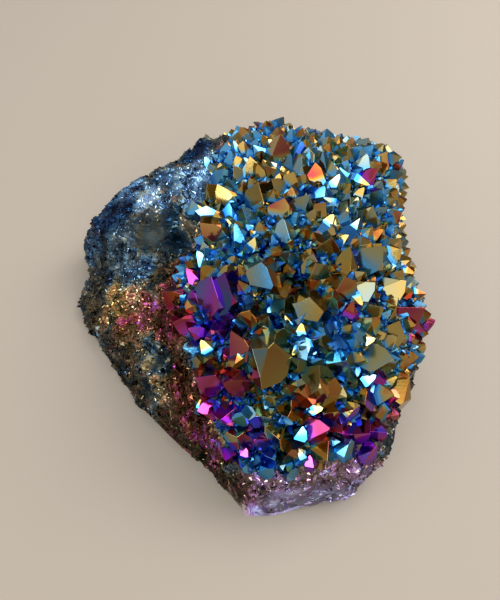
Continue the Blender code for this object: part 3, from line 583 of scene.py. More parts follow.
def fibre_share(point):
    """How much of the fibrous growth shows at a point: most on the low left flank, least on the boss."""
    share = FIBRES_ELSEWHERE
    for middle, reach, strength in FIBRES:
        share += strength * nearness(point, middle, reach)
    return min(max(share, 0.0), FIBRES_MOST)


def patch_share(fibres):
    """How much of the light and dark patches shows beside a share of fibres: little only on glassy rock."""
    return min(1.0, PATCHES_FROM * fibres)


def mottle(point):
    """Light and dark patches and streaks of the broken rock: about -1 to 1 at a point."""
    patches = sum(noise.noise(point / size + Vector(shift)) * strength for size, shift, strength in PATCHES)
    bearing = math.atan2(point.y - SUMMIT[1], point.x - SUMMIT[0])
    down = (SUMMIT[2] - point.z) + math.hypot(point.x - SUMMIT[0], point.y - SUMMIT[1])
    streaks = sum(
        noise.noise(Vector((bearing * across, down * along, shift))) * strength
        for across, along, shift, strength in STREAKS)
    fibres = fibre_share(point)
    return patches * patch_share(fibres) + streaks * fibres


def blend_auras(places):
    """The film at each place of the rock, as rows of the same numbers that ROCK_AURAS gives."""
    total = np.full((len(places), 1), PLAIN_WEIGHT)
    value = total * np.array(PLAIN_AURA)
    for middle, reach, *aura in ROCK_AURAS:
        away = np.linalg.norm(places - np.array(middle), axis=1)
        near = np.clip(1 - away / (reach * AURA_SPREAD), 0, 1)[:, None]
        weight = near**2
        total += weight
        value += weight * np.array(aura)
    return value / total


def select_only(obj):
    """Makes an object the only selected and active one."""
    bpy.ops.object.select_all(action="DESELECT")
    obj.select_set(True)
    bpy.context.view_layer.objects.active = obj


def edit_whole(obj):
    """Opens an object's mesh for editing, with all of it selected."""
    select_only(obj)
    bpy.ops.object.mode_set(mode="EDIT")
    bpy.ops.mesh.select_all(action="SELECT")


def add_object(name, data):
    """Puts a new object in the scene."""
    obj = bpy.data.objects.new(name, data)
    bpy.context.scene.collection.objects.link(obj)
    return obj


def store(mesh, domain, **numbers):
    """Keeps numbers for each vertex or face corner of a mesh under their names, for its material to read."""
    for name, values in numbers.items():
        attribute = mesh.attributes.new(name, "FLOAT", domain)
        attribute.data.foreach_set("value", np.asarray(values, dtype=np.float32))


def finish_piece(obj, material):
    """Takes a piece modelled in millimetres to metres, gives it its film and hangs it on the chunk's body."""
    obj.data.transform(Matrix.Scale(MM, 4))
    obj.data.materials.clear()
    obj.data.materials.append(material)
    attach(obj, "root")
    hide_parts(NODE)


# Materials

def ramp_stops(colours):
    """The film's colours along its ramp, from blue over gold to violet and blue again."""
    return [
        (0.00, colours.deep), (0.07, colours.blue), (0.15, colours.azure), (0.25, colours.slate),
        (0.36, colours.olive), (0.48, colours.gold), (0.56, colours.bronze), (0.64, colours.copper),
        (0.73, colours.maroon), (0.80, colours.magenta), (0.88, colours.violet), (1.00, colours.indigo),
    ]


def add_node(tree, kind, inputs, **settings):
    """Adds a node with its settings. Each of its inputs is a number, a colour or another node's output."""
    node = tree.nodes.new(kind)
    for name, value in settings.items():
        setattr(node, name, value)
    for name, value in inputs.items():
        if isinstance(value, bpy.types.NodeSocket):
            tree.links.new(value, node.inputs[name])
        else:
            node.inputs[name].default_value = value
    return node


def stored(tree, name):
    """The output that reads one of the numbers kept on a piece."""
    return add_node(tree, "ShaderNodeAttribute", {}, attribute_name=name).outputs["Fac"]


def film_material(name, colours, waver, grain):
    """A metal film whose colour comes from the numbers that are kept on a piece.

    "film" is its place on the ramp and "base" the place that it falls to where "rise" is low. "pale" lets the
    bare metal show, "bright" dims it and "rough" dulls it; "bright" also carries painted shade and painted
    highlights. The tone wavers a little over each face, and fine growth marks make the mirror uneven; grain
    is how many of them there are to a metre.
    """
    material = bpy.data.materials.new(name)
    material.use_nodes = True
    tree = material.node_tree
    place = tree.nodes.new("ShaderNodeTexCoord").outputs["Object"]

    climbed = add_node(
        tree, "ShaderNodeMapRange",
        {"Value": stored(tree, "rise"), "From Min": FADE_FROM, "From Max": FADE_TO},
        interpolation_type="SMOOTHSTEP")
    tone = add_node(tree, "ShaderNodeMix", {
        "Factor": climbed.outputs["Result"], "A": stored(tree, "base"), "B": stored(tree, "film")})
    wave = add_node(
        tree, "ShaderNodeTexNoise", {"Vector": place, "Scale": WAVER_SCALE, "Detail": WAVER_DETAIL})
    centred = add_node(
        tree, "ShaderNodeMath", {0: wave.outputs["Fac"], 1: waver, 2: -waver / 2}, operation="MULTIPLY_ADD")
    wavered = add_node(
        tree, "ShaderNodeMath", {0: centred.outputs[0], 1: tone.outputs["Result"]}, operation="ADD")
    ramp = add_node(tree, "ShaderNodeValToRGB", {"Fac": wavered.outputs[0]})
    stops = ramp_stops(colours)
    for position, _ in stops[1:-1]:
        ramp.color_ramp.elements.new(position)
    for element, (position, shade) in zip(ramp.color_ramp.elements, stops):
        element.position = position
        element.color = (*shade, 1.0)

    greyed = add_node(
        tree, "ShaderNodeMix",
        {"Factor": stored(tree, "pale"), "A": ramp.outputs["Color"], "B": (*colours.bare, 1.0)},
        data_type="RGBA")
    dimmed = add_node(
        tree, "ShaderNodeMix", {"Factor": 1.0, "A": greyed.outputs["Result"], "B": stored(tree, "bright")},
        data_type="RGBA", blend_type="MULTIPLY")

    marks = add_node(tree, "ShaderNodeTexNoise", {"Vector": place, "Scale": grain, "Detail": MARK_DETAIL})
    bump = add_node(tree, "ShaderNodeBump", {
        "Strength": MARK_STRENGTH, "Distance": MARK_DEPTH, "Height": marks.outputs["Fac"]})
    shader = tree.nodes["Principled BSDF"]
    shader.inputs["Metallic"].default_value = 1.0
    tree.links.new(dimmed.outputs["Result"], shader.inputs["Base Color"])
    tree.links.new(stored(tree, "rough"), shader.inputs["Roughness"])
    tree.links.new(bump.outputs["Normal"], shader.inputs["Normal"])
    return material


# The rock

def rock_grit(point, around, level):
    """Fine relief of the broken rock at a point, in millimetres, and the number of the plate it is on."""
    share = fibre_share(point)
    strands = sum(
        (0.5 - abs(noise.noise(Vector((around * count + level * slant, level * wave, shift))))) * height
        for count, slant, wave, shift, height in STRANDS)
    large, _ = plate(point, *LARGE_PLATES)
    small, own = plate(point, *SMALL_PLATES)
    tiny, tiny_own = plate(point, *TINY_PLATES)
    out = share * (strands * STRAND_RELIEF + small + tiny)
    out += min(share + LARGE_PLATES_MORE, LARGE_PLATES_MOST) * large * PLATE_RELIEF
    return out, (own + tiny_own) / 2


def make_rock_mesh(settings):
    """Wraps a fine grid round the stations and works the broken surface into it."""
    noise.seed_set(PLATE_SEED)
    levels = rock_levels()
    bpy.ops.object.select_all(action="DESELECT")
    bpy.ops.mesh.primitive_grid_add(x_subdivisions=COLUMNS, y_subdivisions=len(levels) - 1, size=2)
    rock = bpy.context.object
    rock.name = rock.data.name = "broken_rock"
    mesh = rock.data
    count = len(mesh.vertices)
    grid = np.empty(count * 3)
    mesh.vertices.foreach_get("co", grid)
    grid = grid.reshape(-1, 3)
    columns = np.rint((grid[:, 0] + 1) / 2 * COLUMNS).astype(int)
    rows = np.rint((grid[:, 1] + 1) / 2 * (len(levels) - 1)).astype(int)
    profiles = [skin_profile(k * len(STATIONS) / COLUMNS) for k in range(COLUMNS)]
    places = np.empty((count, 3))
    speckle = np.zeros(count)
    for index, (column, row) in enumerate(zip(columns, rows)):
        column %= COLUMNS
        level = levels[row]
        point = climb(profiles[column], level)
        if level > 0:
            outward = (point - Vector(HEART)).normalized()
            point += outward * lump(point)
            if level < GRIT_BELOW:
                grit, speckle[index] = rock_grit(point, column * len(STATIONS) / COLUMNS, level)
                point += outward * grit * settings.grit
            if level > CROWN_LEVEL:
                point -= outward * CROWN_SUNK
            point.z = max(point.z, ROCK_LOWEST)
        places[index] = point
    mesh.vertices.foreach_set("co", places.ravel())

    aura = blend_auras(places)
    bare = np.array([is_bare(place) for place in places])
    aura[(np.array(levels)[rows] > CROWN_LEVEL) & ~bare, :5] = CROWN_AURA
    patches = np.array([mottle(Vector(place)) for place in places])
    shares = np.array([patch_share(fibre_share(Vector(place))) for place in places])
    light = np.exp(speckle * shares * SPECKLE_LIGHT + patches * PATCH_LIGHT) * ROCK_SHADE
    # bright carries the auras' brightness, with its painted shade and painted highlights, times the random
    # patches.
    store(
        mesh, "POINT",
        film=aura[:, 0] + aura[:, 1] * (speckle * SPECKLE_TONE + patches),
        bright=np.minimum(aura[:, 2] * light, 1.0),
        rough=aura[:, 3],
        pale=aura[:, 4],
        base=np.zeros(count),
        rise=np.ones(count))
    return rock


def close_rock(rock):
    """Welds the grid's seam and summit, and closes the foot with one flat face."""
    edit_whole(rock)
    bpy.ops.mesh.remove_doubles(threshold=WELD)
    bpy.ops.mesh.select_all(action="DESELECT")
    bpy.ops.mesh.select_mode(type="EDGE")
    bpy.ops.mesh.select_non_manifold()
    bpy.ops.mesh.edge_face_add()
    bpy.ops.mesh.select_all(action="SELECT")
    bpy.ops.mesh.normals_make_consistent(inside=False)
    bpy.ops.object.mode_set(mode="OBJECT")
    bpy.ops.object.shade_flat()


# The crystals

def level_direction(turn):
    """The level direction at an angle from +X towards +Y."""
    return Vector((math.cos(turn), math.sin(turn), 0.0))


def model_point(name, chance, bevel, corner_cuts):
    """One quartz point of half-width 1, up +Z, its shoulder at the origin: a six-sided prism with six faces.

    Every second face is large, and the three between them only trim the corners.
    """
    bpy.ops.object.select_all(action="DESELECT")
    bpy.ops.mesh.primitive_cylinder_add(
        vertices=6, radius=1.0, depth=PRISM_LENGTH, location=(0, 0, PRISM_LENGTH / 2 - ROOT_DEPTH))
    point = bpy.context.object
    point.name = point.data.name = name
    bpy.ops.object.transform_apply(location=True)
    bpy.ops.object.mode_set(mode="EDIT")
    bpy.ops.mesh.select_mode(type="FACE")
    for k in range(6):
        face = level_direction(math.radians(60 * k)) * math.cos(FACE_LEAN) + UP * math.sin(FACE_LEAN)
        reach = SIDE_APOTHEM * math.cos(FACE_LEAN) + chance.uniform(*(corner_cuts if k % 2 else FACE_CUTS))
        bpy.ops.mesh.select_all(action="SELECT")
        bpy.ops.mesh.bisect(plane_co=face * reach, plane_no=face, use_fill=True, clear_outer=True)
    wide = chance.uniform(*POINT_WIDTHS)
    bpy.ops.mesh.select_all(action="SELECT")
    bpy.ops.transform.resize(value=(wide, 1 / wide, 1.0))
    if bevel:
        bpy.ops.mesh.bevel(offset=bevel, segments=1, affect="EDGES")
    bpy.ops.mesh.normals_make_consistent(inside=False)
    bpy.ops.object.mode_set(mode="OBJECT")
    bpy.ops.object.shade_flat()
    return point


def leaned(up, toward, lean):
    """The direction up, tipped by lean degrees to the level direction toward: 0 is +X and 90 is +Y."""
    side = level_direction(math.radians(toward))
    return (up * math.cos(math.radians(lean)) + side * math.sin(math.radians(lean))).normalized()


def stand(place, axis, half_width, turn, stretch):
    """Where a point of half-width 1 goes: its size, its turn on its axis, its lean and its place."""
    upright = axis.to_track_quat("Z", "Y").to_matrix().to_4x4()
    sized = Matrix.Diagonal((half_width, half_width, half_width * stretch, 1.0))
    return Matrix.Translation(place) @ upright @ Matrix.Rotation(math.radians(turn), 4, "Z") @ sized


def pose(tone, place, axis, half_width, turn, stretch, chance, face):
    """Where a crystal goes.

    One of a glinting tone is turned so that a face mirrors a window to where the chunk is looked at from:
    face 0 is a large one and face 1 a small one.
    """
    if tone not in GLINTING:
        return stand(place, axis, half_width, turn, stretch)
    look = (Vector(CAMERA_AT) - place).normalized()
    halfway = (look + (Vector(chance.choice(WINDOWS)) - place).normalized()).normalized()
    steep = math.atan2(math.cos(FACE_LEAN) * stretch, math.sin(FACE_LEAN))
    spin = axis.cross(halfway).normalized()
    axis = Matrix.Rotation(axis.angle(halfway) - steep, 3, spin) @ axis
    local = axis.to_track_quat("Z", "Y").inverted() @ halfway
    turn = math.degrees(math.atan2(local.y, local.x)) - 60 * face
    return stand(place, axis, half_width, turn, stretch)


def turn_from_back(axis, angle):
    """The turn on its axis that makes a crystal's first face look that many degrees round from the back."""
    back = axis.to_track_quat("Z", "Y").inverted() @ Vector((0, 1, 0))
    return math.degrees(math.atan2(back.y, back.x)) + angle


def plumb(rock, x, y):
    """Where a plumb line meets the rock, and the rock's slope there turned a little towards straight up."""
    place, up, _, _ = rock.ray_cast(Vector((x, y, FAR_OUT)), -UP)
    return place, up.lerp(UP, UPRIGHT)


def leading_points():
    """Yields (tip, tones, matrix) for each crystal whose pose is given one by one, its matrix without its
    place.
    """
    for tip, half_width, toward, lean, angle, stretch, tones in LEADERS.values():
        axis = leaned(UP, toward, lean)
        turn = turn_from_back(axis, angle)
        yield Vector(tip), tones, stand(Vector(), axis, half_width * CROWDING, turn, stretch)


def crown_points(rock):
    """Yields (chance, tone, matrix) for each large crystal of the list, rooted in the rock below it."""
    for number, (tone, x, y, half_width, *lie) in enumerate(POINTS):
        if (x, y) in LEADERS:
            continue
        chance = random.Random(number)
        if not lie:
            lie = chance.uniform(*ALL_ROUND), chance.uniform(*POINT_LEANS), chance.uniform(*TURNS)
        toward, lean, turn = lie
        place, up = plumb(rock, x, y)
        axis = leaned(up.normalized(), toward, lean)
        place += axis * half_width * chance.uniform(*POINT_RISES)
        if max(place.x, place.y) > RIM_FROM:
            place -= axis * half_width * RIM_SUNK
        stretch = chance.uniform(*POINT_STRETCHES)
        yield chance, tone, pose(tone, place, axis, half_width * CROWDING, turn, stretch, chance, 1)


def side_points(rock):
    """Yields (chance, tone, matrix) for the crystals of the sides, spread by chance but apart."""
    throw = random.Random(SIDE_SEED)
    hub = Vector((SUMMIT[0], SUMMIT[1], SIDE_LOWEST))
    taken = []
    while len(taken) < SIDE_POINTS:
        bearing = math.radians(throw.uniform(*SIDE_BEARINGS))
        tilt = math.radians(throw.uniform(*SIDE_TILTS))
        ray = level_direction(bearing) * math.cos(tilt) + UP * math.sin(tilt)
        place, up, _, _ = rock.ray_cast(hub + ray * FAR_OUT, -ray)
        if place is None or place.z < SIDE_LOWEST or up.z > SIDE_STEEPNESS:
            continue
        if any((place - other).length < SIDE_APART for other in taken):
            continue
        taken.append(place)
        chance = random.Random(SIDE_SEED + len(taken))
        half_width = chance.uniform(*SIDE_HALF_WIDTHS)
        axis = leaned(up, chance.uniform(*ALL_ROUND), chance.uniform(*SIDE_LEANS))
        shoulder = place - axis * half_width * SUNK
        tone = field_tone(place, chance)
        yield chance, tone, stand(shoulder, axis, half_width * CROWDING, chance.uniform(*TURNS), 1.0)


def small_points(rock):
    """Yields (chance, tone, matrix) for the small crystals of the list."""
    for number, (tone, x, y, half_width) in enumerate(SMALL_POINTS):
        chance = random.Random(SMALL_SEED + number)
        place, up = plumb(rock, x, y)
        axis = leaned(up, chance.uniform(*ALL_ROUND), chance.uniform(*SMALL_LEANS))
        place += axis * half_width * chance.uniform(*SMALL_RISES)
        stretch = chance.uniform(*SMALL_STRETCHES)
        turn = chance.uniform(*TURNS)
        yield chance, tone, pose(tone, place, axis, half_width * SMALL_CROWDING, turn, stretch, chance, 0)


def field_tone(place, chance):
    """The film's colour for a crystal of the field, drawn from the mixture that grows at its place."""
    tones = FIELD_TONES
    for middle, reach, mixture in FIELDS:
        if chance.uniform(0, FIELD_CERTAIN) < nearness(place, middle, reach):
            tones = mixture
    return chance.choice(tones)


def strew(skin, count, seed):
    """Places spread by chance and evenly by area over a skin of four-sided faces, with the faces' slopes."""
    throw = np.random.default_rng(seed)
    places, faces = skin
    corners = np.array(places)[np.array(faces)]
    triangles = np.concatenate([corners[:, (0, 1, 2)], corners[:, (0, 2, 3)]])
    first, second, third = triangles[:, 0], triangles[:, 1], triangles[:, 2]
    normals = np.cross(second - first, third - first)
    areas = np.linalg.norm(normals, axis=1)
    chosen = throw.choice(len(areas), count, p=areas / areas.sum())
    share = np.sort(throw.uniform(0, 1, (count, 2)), axis=1)
    a, b = share[:, :1], share[:, 1:]
    spots = first[chosen] * a + second[chosen] * (b - a) + third[chosen] * (1 - b)
    return spots, normals[chosen] / areas[chosen][:, None]


def druse_points(skin, taken):
    """Yields (chance, tone, matrix) for the small crystals that fill the gaps between the large ones.

    taken is a list of (x, y, z, half-width) for the crystals that stand already.
    """
    taken = np.array(taken)
    for number, (count, least, greatest) in enumerate(DRUSE):
        for index, (spot, up) in enumerate(zip(*strew(skin, count, number))):
            place, up = Vector(spot), Vector(up)
            chance = random.Random(number * DRUSE_SEEDS + index)
            half_width = chance.uniform(least, greatest)
            gaps = np.linalg.norm(taken[:, :3] - spot, axis=1)
            if (gaps < (taken[:, 3] + half_width) * DRUSE_APART).any() or not in_field(place, up):
                continue
            taken = np.vstack([taken, (*spot, half_width)])
            axis = leaned(up, chance.uniform(*ALL_ROUND), chance.uniform(*DRUSE_LEANS))
            place += axis * half_width * chance.uniform(*DRUSE_RISES)
            tone = field_tone(place, chance)
            if number and chance.random() < GAP_SHARE:
                tone = chance.choice(GAP_TONES)
            stretch, turn = chance.uniform(*DRUSE_STRETCHES), chance.uniform(*TURNS)
            yield chance, tone, pose(tone, place, axis, half_width * DRUSE_CROWDING, turn, stretch, chance, 0)


def is_bare(place):
    """Whether a place lies in one of the spots where no small crystals grow."""
    return any((Vector(place) - Vector(middle)).length < reach for middle, reach in BARE_SPOTS)


def in_field(place, up):
    """Whether a place of the rock is covered by crystals: inside the rim, or high on the right and back."""
    if is_bare(place):
        return False
    bearing = math.degrees(math.atan2(place.y - SUMMIT[1], place.x - SUMMIT[0]))
    if place.z > SIDE_LOWEST and SIDE_BEARINGS[0] < bearing < SIDE_BEARINGS[1]:
        return True
    if up.z < FLANK_STEEPNESS:
        return False
    rims = [Vector(station[3]).xy for station in STATIONS]
    inside = False
    for a, b in zip(rims, rims[1:] + rims[:1]):
        if (a.y > place.y) != (b.y > place.y):
            if place.x < a.x + (place.y - a.y) / (b.y - a.y) * (b.x - a.x):
                inside = not inside
    return inside


def copy_point(master, name, matrix, tone, chance):
    """Copies a modelled crystal to its place, with the film's numbers, painted shade among them, on its face
    corners.

    A crystal that leads the look has a tone for each of its large faces in place of one.
    """
    mesh = master.data.copy()
    mesh.name = name
    faces = len(mesh.polygons)
    vertex_of = np.empty(len(mesh.loops), dtype=int)
    mesh.loops.foreach_get("vertex_index", vertex_of)
    face_of = np.repeat(np.arange(faces), [face.loop_total for face in mesh.polygons])
    local = np.empty(len(mesh.vertices) * 3)
    mesh.vertices.foreach_get("co", local)
    local = local.reshape(-1, 3)[vertex_of]
    mesh.transform(matrix)
    normals = np.empty(faces * 3)
    mesh.polygons.foreach_get("normal", normals)
    exposed = np.clip(normals.reshape(-1, 3) @ np.array(Vector(EXPOSED_TO).normalized()), 0, 1)

    draw = np.random.default_rng(chance.randrange(1 << 30))
    own = draw.uniform(-1, 1, faces)
    slope = draw.uniform(-FACE_SLOPE, FACE_SLOPE, (faces, 2))[face_of]
    leads = not isinstance(tone, str)
    tones = tone if leads else [tone] * LARGE_FACES
    middles = np.array([face.center.xy for face in master.data.polygons])
    side_of = np.round(np.arctan2(middles[:, 1], middles[:, 0]) / (2 * math.pi / LARGE_FACES)).astype(int)
    most, least, base = np.array([TONES[name] for name in tones])[side_of % LARGE_FACES].T
    film = (least + (most - least) * exposed + own * FACE_SPREAD)[face_of]
    film += (local[:, :2] * slope).sum(axis=1)
    rise = np.clip(local[:, 2] / local[:, 2].max(), 0, 1)
    if leads:
        rise = np.clip(LEADER_FADE + rise, 0, 1)
    # Painted shade: each crystal is darker towards its base, as if its neighbours shaded it.
    lit = PAINTED_BASE_SHADE + (1 - PAINTED_BASE_SHADE) * np.clip(rise / LIT_FROM, 0, 1)
    if leads:
        lit *= LEADER_SHADE
    half_width = matrix.col[0].length / CROWDING
    # Painted shade: the smaller a crystal, the darker it is painted, as if shaded in the gaps.
    lit *= SMALL_PAINTED_SHADE + (1 - SMALL_PAINTED_SHADE) * min(half_width / FULL_LIGHT, 1.0) ** 2
    store(
        mesh, "CORNER",
        film=film,
        base=(base + chance.uniform(*BASE_SPREAD))[face_of],
        rise=rise,
        bright=lit * (FACE_LIGHT + FACE_CONTRAST * draw.uniform(*FACE_LIGHTS, faces)[face_of]),
        rough=FACE_ROUGHNESS + FACE_ROUGHNESS_SPREAD * draw.uniform(-1, 1, faces)[face_of],
        pale=draw.uniform(*FACE_PALENESS, faces)[face_of])
    return add_object(name, mesh)


def join(copies, name):
    """Makes one piece of many."""
    bpy.ops.object.select_all(action="DESELECT")
    for copy in copies:
        copy.select_set(True)
    bpy.context.view_layer.objects.active = copies[0]
    bpy.ops.object.join()
    piece = bpy.context.object
    piece.name = piece.data.name = name
    return piece


def coarse_skin():
    """The rock's coarse skin, for rooting crystals on: its places and its four-sided faces."""
    count, rows = COARSE_COLUMNS, len(COARSE_LEVELS)
    places = []
    for column in range(count):
        profile = skin_profile(column * len(STATIONS) / count)
        for level in COARSE_LEVELS:
            point = climb(profile, level)
            if level > 0:
                point += (point - Vector(HEART)).normalized() * lump(point)
                point.z = max(point.z, LOWEST_LUMP)
            places.append(point)
    faces = []
    for column in range(count):
        here, beside = column * rows, (column + 1) % count * rows
        faces += [(here + row, beside + row, beside + row + 1, here + row + 1) for row in range(rows - 1)]
    return places, faces


# Fine grains

def grain_share(place, up):
    """The chance that a grain grows at a place of the rock."""
    if in_field(place, up):
        return 0.0
    share = 1.0
    for middle, reach, strength in SMOOTH_PARTS:
        share -= strength * min(1.0, 2 * nearness(place, middle, reach))
    return share


def grain_turn(draw, spot, up):
    """Three rows that turn a grain: its axis leans anyhow, and it is drawn out down the slope."""
    outward = spot - np.array(SUMMIT)
    down = outward - up * np.dot(outward, up)
    down /= np.linalg.norm(down) + TINY
    along = down + draw.normal(0, GRAIN_STRAY, 3)
    axis = unit(up + draw.normal(0, GRAIN_LEAN, 3))
    along = unit(along - axis * np.dot(along, axis))
    return np.array((along * draw.uniform(*GRAIN_STRETCH), np.cross(axis, along), axis))


def frame_on(axis, aside):
    """Three rows at right angles: a direction, one at right angles to it and to aside, and the third."""
    second = unit(np.cross(axis, aside))
    return np.array((axis, second, np.cross(axis, second)))


def glint_turn(draw, spot, up, facets):
    """Three rows that turn a grain so that one of its facets mirrors a window to the camera."""
    window = WINDOW_AT if draw.uniform() < GLINTS_FROM_WINDOW else FRONT_AT
    halfway = unit(unit(np.array(CAMERA_AT) - spot) + unit(np.array(window) - spot))
    best = None
    for facet in facets[draw.permutation(len(facets))]:
        turned = frame_on(halfway, draw.normal(0, 1, 3))
        turn = frame_on(facet, ANY_DIRECTION).T @ turned
        if best is None or turn[2] @ up > best[2] @ up:
            best = turn
    return best


def grain_shapes():
    """The shapes that grains have: each one's corners, its sides and the directions of its upper facets."""
    shapes = []
    for number in range(GRAIN_SHAPES):
        bpy.ops.object.select_all(action="DESELECT")
        bpy.ops.mesh.primitive_cone_add(vertices=5, radius1=1.0, depth=GRAIN_HEIGHT, end_fill_type="NGON")
        master = bpy.context.object
        edit_whole(master)
        bpy.ops.transform.vertex_random(offset=GRAIN_UNEVEN, seed=number)
        bpy.ops.object.mode_set(mode="OBJECT")
        polygons = master.data.polygons
        upper = [face.normal for face in polygons if len(face.vertices) == 3 and face.normal.z > 0]
        corners = np.array([vertex.co for vertex in master.data.vertices])
        shapes.append((corners, [tuple(face.vertices) for face in polygons], np.array(upper)))
        bpy.data.objects.remove(master)
    return shapes


def make_grains(rock, settings):
    """Strews small broken crystals over the rock outside the crystal field, all in one mesh."""
    shapes = grain_shapes()
    draw = np.random.default_rng(GRAIN_SEED)
    skin = (
        [vertex.co / MM for vertex in rock.data.vertices],
        [tuple(face.vertices) for face in rock.data.polygons if len(face.vertices) == 4])
    spots, ups = strew(skin, settings.grain_count, GRAIN_SEED)
    chances = draw.uniform(0, 1, len(spots))
    kept = [k for k in range(len(spots)) if chances[k] < grain_share(Vector(spots[k]), Vector(ups[k]))]
    spots, ups = spots[kept], ups[kept]
    sizes = draw.triangular(*GRAIN_SIZES, len(spots))
    places, faces, film, bright, rough, pale = [], [], [], [], [], []
    start = 0
    for k, (spot, up, aura, size) in enumerate(zip(spots, ups, blend_auras(spots), sizes)):
        corners, sides, facets = shapes[k % len(shapes)]
        glints = draw.uniform() < aura[5]
        turn = glint_turn(draw, spot, up, facets) if glints else grain_turn(draw, spot, up)
        places.append(spot - up * size * GRAIN_SUNK + corners @ turn * size)
        faces += [tuple(corner + start for corner in side) for side in sides]
        start += len(corners)
        patch = mottle(Vector(spot))
        tone = aura[0] + aura[1] * (draw.uniform(-1, 1) + patch)
        shine = aura[2] * math.exp(GRAIN_SHINE * draw.normal() + PATCH_LIGHT * patch)
        # A glinting grain's colour is painted brighter than the rock's: a painted highlight on top of its
        # mirror of a window.
        if glints:
            shine = GLINT_PAINTED_LIGHT * max(aura[2], GLINT_LEAST) * draw.uniform(*GLINT_SHINES)
        paleness = aura[4] * draw.uniform(*GRAIN_PALENESS)
        for side in sides:
            film += [tone + draw.uniform(-GRAIN_SPREAD, GRAIN_SPREAD)] * len(side)
            bright += [min(shine, 1.0)] * len(side)
            rough += [GLINT_ROUGHNESS if glints else aura[3]] * len(side)
            pale += [paleness] * len(side)
    places = np.concatenate(places)
    places[:, 2] = np.maximum(places[:, 2], GRAIN_LOWEST)
    mesh = bpy.data.meshes.new("rock_grains")
    mesh.from_pydata(places, [], faces)
    count = len(film)
    store(
        mesh, "CORNER",
        film=film, base=np.zeros(count), rise=np.ones(count), bright=bright, rough=rough, pale=pale)
    grains = add_object("rock_grains", mesh)
    edit_whole(grains)
    bpy.ops.mesh.normals_make_consistent(inside=False)
    bpy.ops.object.mode_set(mode="OBJECT")
    return grains


# Settings, operators and panel

def colour(name, description, value):
    """A film colour that the user can change."""
    return FloatVectorProperty(
        name=name, description=description, subtype="COLOR", size=3, min=0, max=1, default=value)


def power(name, place, value):
    """A light's power that the user can change."""
    return FloatProperty(name=name, description=f"Power of the {place}, in watts", default=value, min=0)


class FilmColours(bpy.types.PropertyGroup):
    """The colours that the metal film runs through as it gets thicker."""

    deep: colour("Deep blue", "Thinnest film, in the gaps", (0.010, 0.06, 0.30))
    blue: colour("Blue", "Thin film low on a crystal", (0.012, 0.19, 0.68))
    azure: colour("Azure", "Thin film in the light", (0.10, 0.46, 0.85))
    slate: colour("Slate", "Between azure and olive", (0.17, 0.36, 0.46))
    olive: colour("Olive", "Grey-green, before gold", (0.37, 0.34, 0.15))
    gold: colour("Gold", "Most points", (0.50, 0.31, 0.055))
    bronze: colour("Bronze", "Past gold", (0.50, 0.22, 0.035))
    copper: colour("Copper", "Past bronze", (0.46, 0.11, 0.03))
    maroon: colour("Maroon", "Red film", (0.36, 0.03, 0.06))
    magenta: colour("Magenta", "Pink-red film", (0.58, 0.05, 0.30))
    violet: colour("Violet", "Violet film", (0.38, 0.05, 0.70))
    indigo: colour("Indigo", "Thickest film", (0.08, 0.18, 0.50))
    bare: colour("Bare metal", "Where the film is thin and grey", (0.72, 0.80, 0.92))


class ClusterShape(bpy.types.PropertyGroup):
    """The sizes and amounts of the cluster's relief."""

    grit: FloatProperty(name="Grit", description="Relief of the broken rock", default=0.7, min=0, max=2)
    grain_count: IntProperty(name="Grains", description="Places tried for fine grains", default=30000, min=1)
    edge: FloatProperty(
        name="Edge", description="Bevel of a point's edges, in half-widths", default=0.01, min=0, max=0.2)


class StudioSettings(bpy.types.PropertyGroup):
    """The floor and the lights round the cluster."""

    floor: colour("Floor", "Pale floor", (0.44, 0.375, 0.30))
    window: power("Window", "right window", 1.35)
    front: power("Front", "low window in front", 0.15)
    fill: power("Fill", "left light", 0.25)
    wall: power("Wall", "soft light in front", 0.7)
    sky: power("Sky", "light overhead", 0.4)
    room: FloatProperty(name="Room", description="Brightness of the room", default=0.53, min=0)


class DRUZY_OT_rock(bpy.types.Operator):
    """Builds the broken rock that the crystals stand on"""

    bl_idname = "druzy.rock"
    bl_label = "Broken Rock"

    def execute(self, context):
        rock = make_rock_mesh(context.scene.druzy_shape)
        close_rock(rock)
        finish_piece(rock, film_material("rock_film", context.scene.druzy_film, ROCK_WAVER, ROCK_MARKS))
        return {"FINISHED"}


class DRUZY_OT_points(bpy.types.Operator):
    """Stands the large quartz points on the crown and round its sides"""

    bl_idname = "druzy.points"
    bl_label = "Quartz Points"

    def execute(self, context):
        rock = BVHTree.FromPolygons(*coarse_skin())
        edge = context.scene.druzy_shape.edge
        copies = []
        for number, (chance, tone, matrix) in enumerate([*crown_points(rock), *side_points(rock)]):
            master = model_point("point_master", chance, edge, LARGE_CUTS)
            copies.append(copy_point(master, f"point_{number}", matrix, tone, chance))
            bpy.data.objects.remove(master)
        for number, (tip, tones, lie) in enumerate(leading_points()):
            chance = random.Random(LEADER_SEED + number)
            master = model_point("leader_master", chance, edge, LARGE_CUTS)
            top = max((vertex.co for vertex in master.data.vertices), key=lambda place: place.z)
            matrix = Matrix.Translation(tip - lie @ top) @ lie
            copies.append(copy_point(master, f"leader_{number}", matrix, tones, chance))
            bpy.data.objects.remove(master)
        points = join(copies, "quartz_points")
        finish_piece(points, film_material("point_film", context.scene.druzy_film, FACE_WAVER, FACE_MARKS))
        return {"FINISHED"}


